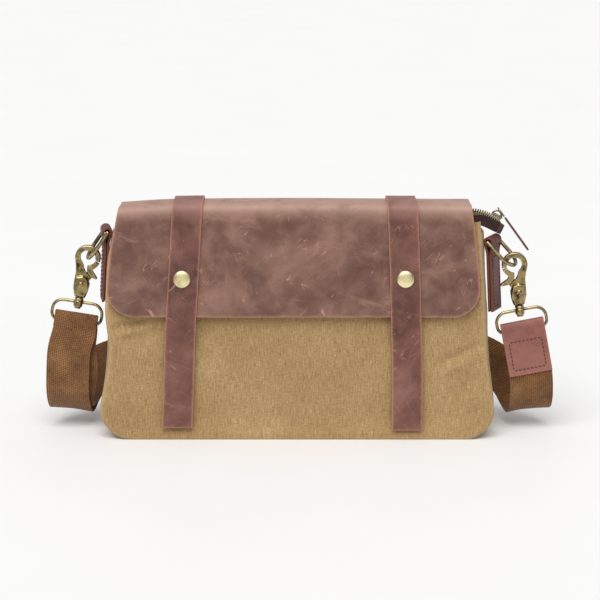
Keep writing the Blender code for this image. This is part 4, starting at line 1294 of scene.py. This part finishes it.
def add_back_stitches():
    """The seam that holds the flap and its straps to the back panel."""
    normal = Vector((0, 1, 0))
    left, right = TOP_LOW.x + 5, TOP_HIGH.x - 5
    for k, z in enumerate((FLAP_BACK_Z + 4, FLAP_BACK_Z + 9)):
        ends, x = [], left
        for _, top_x, _, _, _ in STRAPS:
            ends.append((x, top_x - STRAP_WIDTH / 2 - 2))
            x = top_x + STRAP_WIDTH / 2 + 2
        ends.append((x, right))
        y = half_depth(z) + GAP + LEATHER
        for j, (start, end) in enumerate(ends):
            stitches(f"back_stitches_{k}_{j}", (start, y, z), (end, y, z), normal, "root")
    side, low, high = STRAP_WIDTH / 2 - 4, FLAP_BACK_Z + 10, FLAP_BACK_Z + 26
    for name, top_x, _, _, _ in STRAPS:

        def place(u, z):
            return top_x + u, half_depth(z) + GAP + LEATHER + LAYER, z

        stitched_box(f"strap_stitches_{name}", place, side, low, high, normal, "root")


# ---------------------------------------------------------------- zip and lining

ZIP_ROOF_Z = 192.5
ZIP_HALF_GAP = 13.5
ZIP_TAPE_HEIGHT = 10.0
ZIP_TAPE = 0.8
ZIP_TEETH_WIDTH = 2.4
ZIP_TEETH_HEIGHT = 2.0
ZIP_PITCH = 1.9
# A tooth seen from above: along the zip in millimetres, and across it as a share of its half width
TOOTH = ((-0.62, -0.7), (-0.62, 0.7), (-0.4, 1), (0.4, 1), (0.62, 0.7), (0.62, -0.7), (0.4, -1), (-0.4, -1))
TAIL_SLOPE = math.radians(25.0)
TAIL_LENGTH = 13.5


def zip_stations(side, steps):
    """Middle of the tape from the left end to the tail, as x, y, z and the slope of the tape."""
    tape_z = ZIP_ROOF_Z - 2.6 - ZIP_TEETH_HEIGHT - ZIP_TAPE_HEIGHT / 2
    droop = math.tan(TAIL_SLOPE)
    return smooth_route(
        [
            (-140.0, side * ZIP_HALF_GAP, tape_z, 0.0),
            (-40.0, side * ZIP_HALF_GAP, tape_z, 0.0),
            (60.0, side * ZIP_HALF_GAP, tape_z, 0.0),
            (130.0, side * ZIP_HALF_GAP, tape_z, 0.0),
            (148.0, side * (ZIP_HALF_GAP - 4.5), tape_z + 1.2, 0.35 * TAIL_SLOPE),
            (157.0, side * 4.2, tape_z + 0.4, TAIL_SLOPE),
            (157.0 + TAIL_LENGTH, side * 3.2, tape_z + 0.4 - TAIL_LENGTH * droop, TAIL_SLOPE),
        ],
        steps,
    )


def add_zip_side(name, side):
    """One tape with its row of separate teeth, offset by half a tooth from the other row."""
    stations = zip_stations(side, 14)
    half = ZIP_TAPE_HEIGHT / 2
    heights = np.array([-half, -half + 0.3, -3.4, -1.7, 0.0, 1.7, 3.4, half - 0.3, half])
    rows, travelled = [], [0.0]
    for before, after in zip(stations, stations[1:]):
        travelled.append(travelled[-1] + float(np.linalg.norm(after[:3] - before[:3])))
    for (x, y, z, slope), run in zip(stations, travelled):
        up = np.array((math.sin(slope), 0, math.cos(slope)))
        middle = np.array((x, y + side * ZIP_TAPE / 2, z))
        row = []
        for h in heights:
            sag = side * 0.35 * ripple(run, 0.0, h, 12.0, 4.0)
            row.append((*(middle + up * h + np.array((0, sag, 0))), run, h + half, NO_EDGE))
        rows.append(row)
    mesh = thick_sheet("tape", *sheet_arrays(rows), ZIP_TAPE, (0, side, 0), 0.2)
    finish_object(f"tape_cloth_{name}", mesh, "tape", "root", [f"zip_tape_{name}"])

    work = bmesh.new()
    start = ZIP_PITCH * (0.5 if side > 0 else 1.0)
    low, wide = half + 0.3, ZIP_TEETH_WIDTH / 2
    for run in np.arange(start, travelled[-1] - ZIP_PITCH / 2, ZIP_PITCH):
        x, y, z, slope = (float(np.interp(run, travelled, [st[k] for st in stations])) for k in range(4))
        up = Vector((math.sin(slope), 0, math.cos(slope)))
        along = Vector((math.cos(slope), 0, -math.sin(slope)))
        middle = Vector((x, y, z))
        rings = []
        for rise, share in ((-0.9, 0.8), (0.0, 1.0), (1.3, 1.0), (ZIP_TEETH_HEIGHT - 0.2, 0.85)):
            centre = middle + up * (low + rise)
            rings.append([centre + along * (a * share) + Vector((0, b * wide * share, 0)) for a, b in TOOTH])
        add_rings(work, rings)
    teeth = mesh_of(work, "teeth")
    finish_object(f"teeth_{name}", teeth, "dark_brass", "root", [f"zip_teeth_{name}"])


def add_tail_end():
    """The leather end piece, folded over the two tapes."""
    x, _, z, slope = (float(v) for v in zip_stations(1, 4)[-1])
    along = Vector((math.cos(slope), 0, -math.sin(slope)))
    up = Vector((math.sin(slope), 0, math.cos(slope)))
    tip = Vector((x, 0, z))
    wide, reach = 5.0, 4.6
    path = [(0.4, wide)] + [(reach - wide + a, b) for a, b in arc((0, 0), wide, 60, -60, 11)] + [(0.4, -wide)]
    path = [(a, b * 0.98) for a, b in path]

    def place(a, b, height):
        return tip + along * a + Vector((0, b, 0)) + up * (height - 0.8)

    strip = (ZIP_TAPE_HEIGHT - 1.7, 1.4, (0, 1, 0), "dark_tab", "root", ["zip_tail_end"])
    folded_strip("tail_leather", path, place, *strip)


def add_lining():
    """The cloth pouch inside, with soft folds in its walls."""
    outer = CANVAS + GAP + 2.2
    thickness, count = 0.7, 150
    rows = []
    levels = [ZIP_END_Z - 0.2, 172.0, 168.0] + list(np.linspace(160, 26, 28)) + [20, 15, 10, 7, 4.6, 3.2, 2.6]
    floor_shares = (0.97, 0.9, 0.7, 0.4, 0.05)
    for level, inward in [(z, 1.0) for z in levels] + [(2.6, share) for share in floor_shares]:
        low_corner = float(corner_inset(max(level, outer) - outer, CORNER_RADIUS - outer))
        wide = half_width(max(level, CORNER_RADIUS)) - outer - low_corner
        deep = (half_depth(level) - outer - (0.6 if level < 3 else 0.0)) * inward
        corner = min(6.0, deep * 0.9)
        wide = wide - (1 - inward) * deep
        outline = []
        for sx, sy, begin in ((-1, 1, 90), (-1, -1, 180), (1, -1, 270), (1, 1, 0)):
            centre = (sx * (wide - corner), sy * (deep - corner))
            outline += arc(centre, corner, begin, begin + 90, 6)
        outline.insert(0, (0.0, deep))
        outline.append((0.0, deep))
        _, line, _ = resampled(outline, 4.0, (0.0, 2.0), (0.0, 2.0))
        row, v = [], level if inward == 1.0 else -inward * 30
        for k in range(count):
            share = k / (count - 1)
            at = share * (len(line) - 1)
            i = min(int(at), len(line) - 2)
            x, y = line[i] * (1 - at + i) + line[i + 1] * (at - i)
            fade = unit((level - 8) / 30) * unit((ZIP_END_Z - level) / 8)
            soft = 1.2 * (1 + ripple(x, y, level * 0.5, 26.0, 3.0)) * fade
            x, y = x * (1 - 0.3 * soft / max(abs(x), 20)), y - soft * y / max(abs(y), 8.0)
            row.append((x, y, level, k * 3.0, v, NO_EDGE))
        rows.append(row)
    mesh = thick_sheet("lining", *sheet_arrays(rows), thickness, (0, 1, 0), 0.1)
    finish_object("lining_cloth", mesh, "lining", "root", ["lining_pouch"])


def smooth_copy(node, voxel, rounds, material, slot):
    """The CAD node with its facets and edges worn round, as a cast and tumbled piece."""
    source, name = frame["nodes"][node], f"{node}_cast"
    obj = placed(name, source.data.copy())
    obj.data.materials.clear()
    remesh = obj.modifiers.new("remesh", "REMESH")
    remesh.mode = "VOXEL"
    remesh.voxel_size = voxel * MM
    relax = obj.modifiers.new("relax", "SMOOTH")
    relax.iterations = rounds
    relax.factor = 0.5
    graph = bpy.context.evaluated_depsgraph_get()
    mesh = bpy.data.meshes.new_from_object(obj.evaluated_get(graph))
    bpy.data.objects.remove(obj)
    mesh.transform(Matrix.Scale(1 / MM, 4))
    body = next(b for b, empty in frame["bodies"].items() if source.parent == empty)
    return finish_object(name, mesh, material, body, [node], 180.0)


# CAD nodes worn round: voxel in millimetres, rounds of smoothing
CASTS = {
    f"{node}_{side}": worn
    for side in ("left", "right")
    for node, worn in (
        ("hook_body", (0.4, 4)),
        ("hook_trigger", (0.35, 3)),
        ("hook_rivet", (0.25, 3)),
        ("strap_loop", (0.35, 3)),
        ("d_ring", (0.4, 3)),
    )
}
CASTS.update(zip_slider=(0.25, 2), zip_pull_ring=(0.2, 2), zip_pull_tab=(0.25, 3), strap_adjuster=(0.4, 3))

# Materials and slots of those that aren't antique brass in both
CAST_LOOKS = {
    "hook_rivet_left": ("antique_brass", "pale_brass"),
    "hook_rivet_right": ("antique_brass", "pale_brass"),
    "zip_pull_tab": ("dark_tab", "tab_leather"),
}


def main():
    add_camera()
    add_floor()
    add_dark_cards()
    add_studio()
    band, length = add_webbing()
    add_patch()
    add_panel("canvas_front", -1, "front_panel")
    add_panel("canvas_back", 1, "back_panel")
    add_gusset()
    add_lining()
    add_flap()
    for strap in STRAPS:
        add_strap(*strap)
        add_snap_cap(strap[0])
    add_back_stitches()
    for name, side in (("front", -1), ("back", 1)):
        add_zip_side(name, side)
    add_tail_end()
    for name in TABS:
        add_tab(name)
    for node, (voxel, rounds) in CASTS.items():
        smooth_copy(node, voxel, rounds, *CAST_LOOKS.get(node, ("antique_brass", "antique_brass")))
    for node, obj in frame["nodes"].items():
        if node.startswith("snap") and not obj.hide_render:
            obj.data.materials.clear()
            obj.data.materials.append(MATERIALS["antique_brass"])


main()
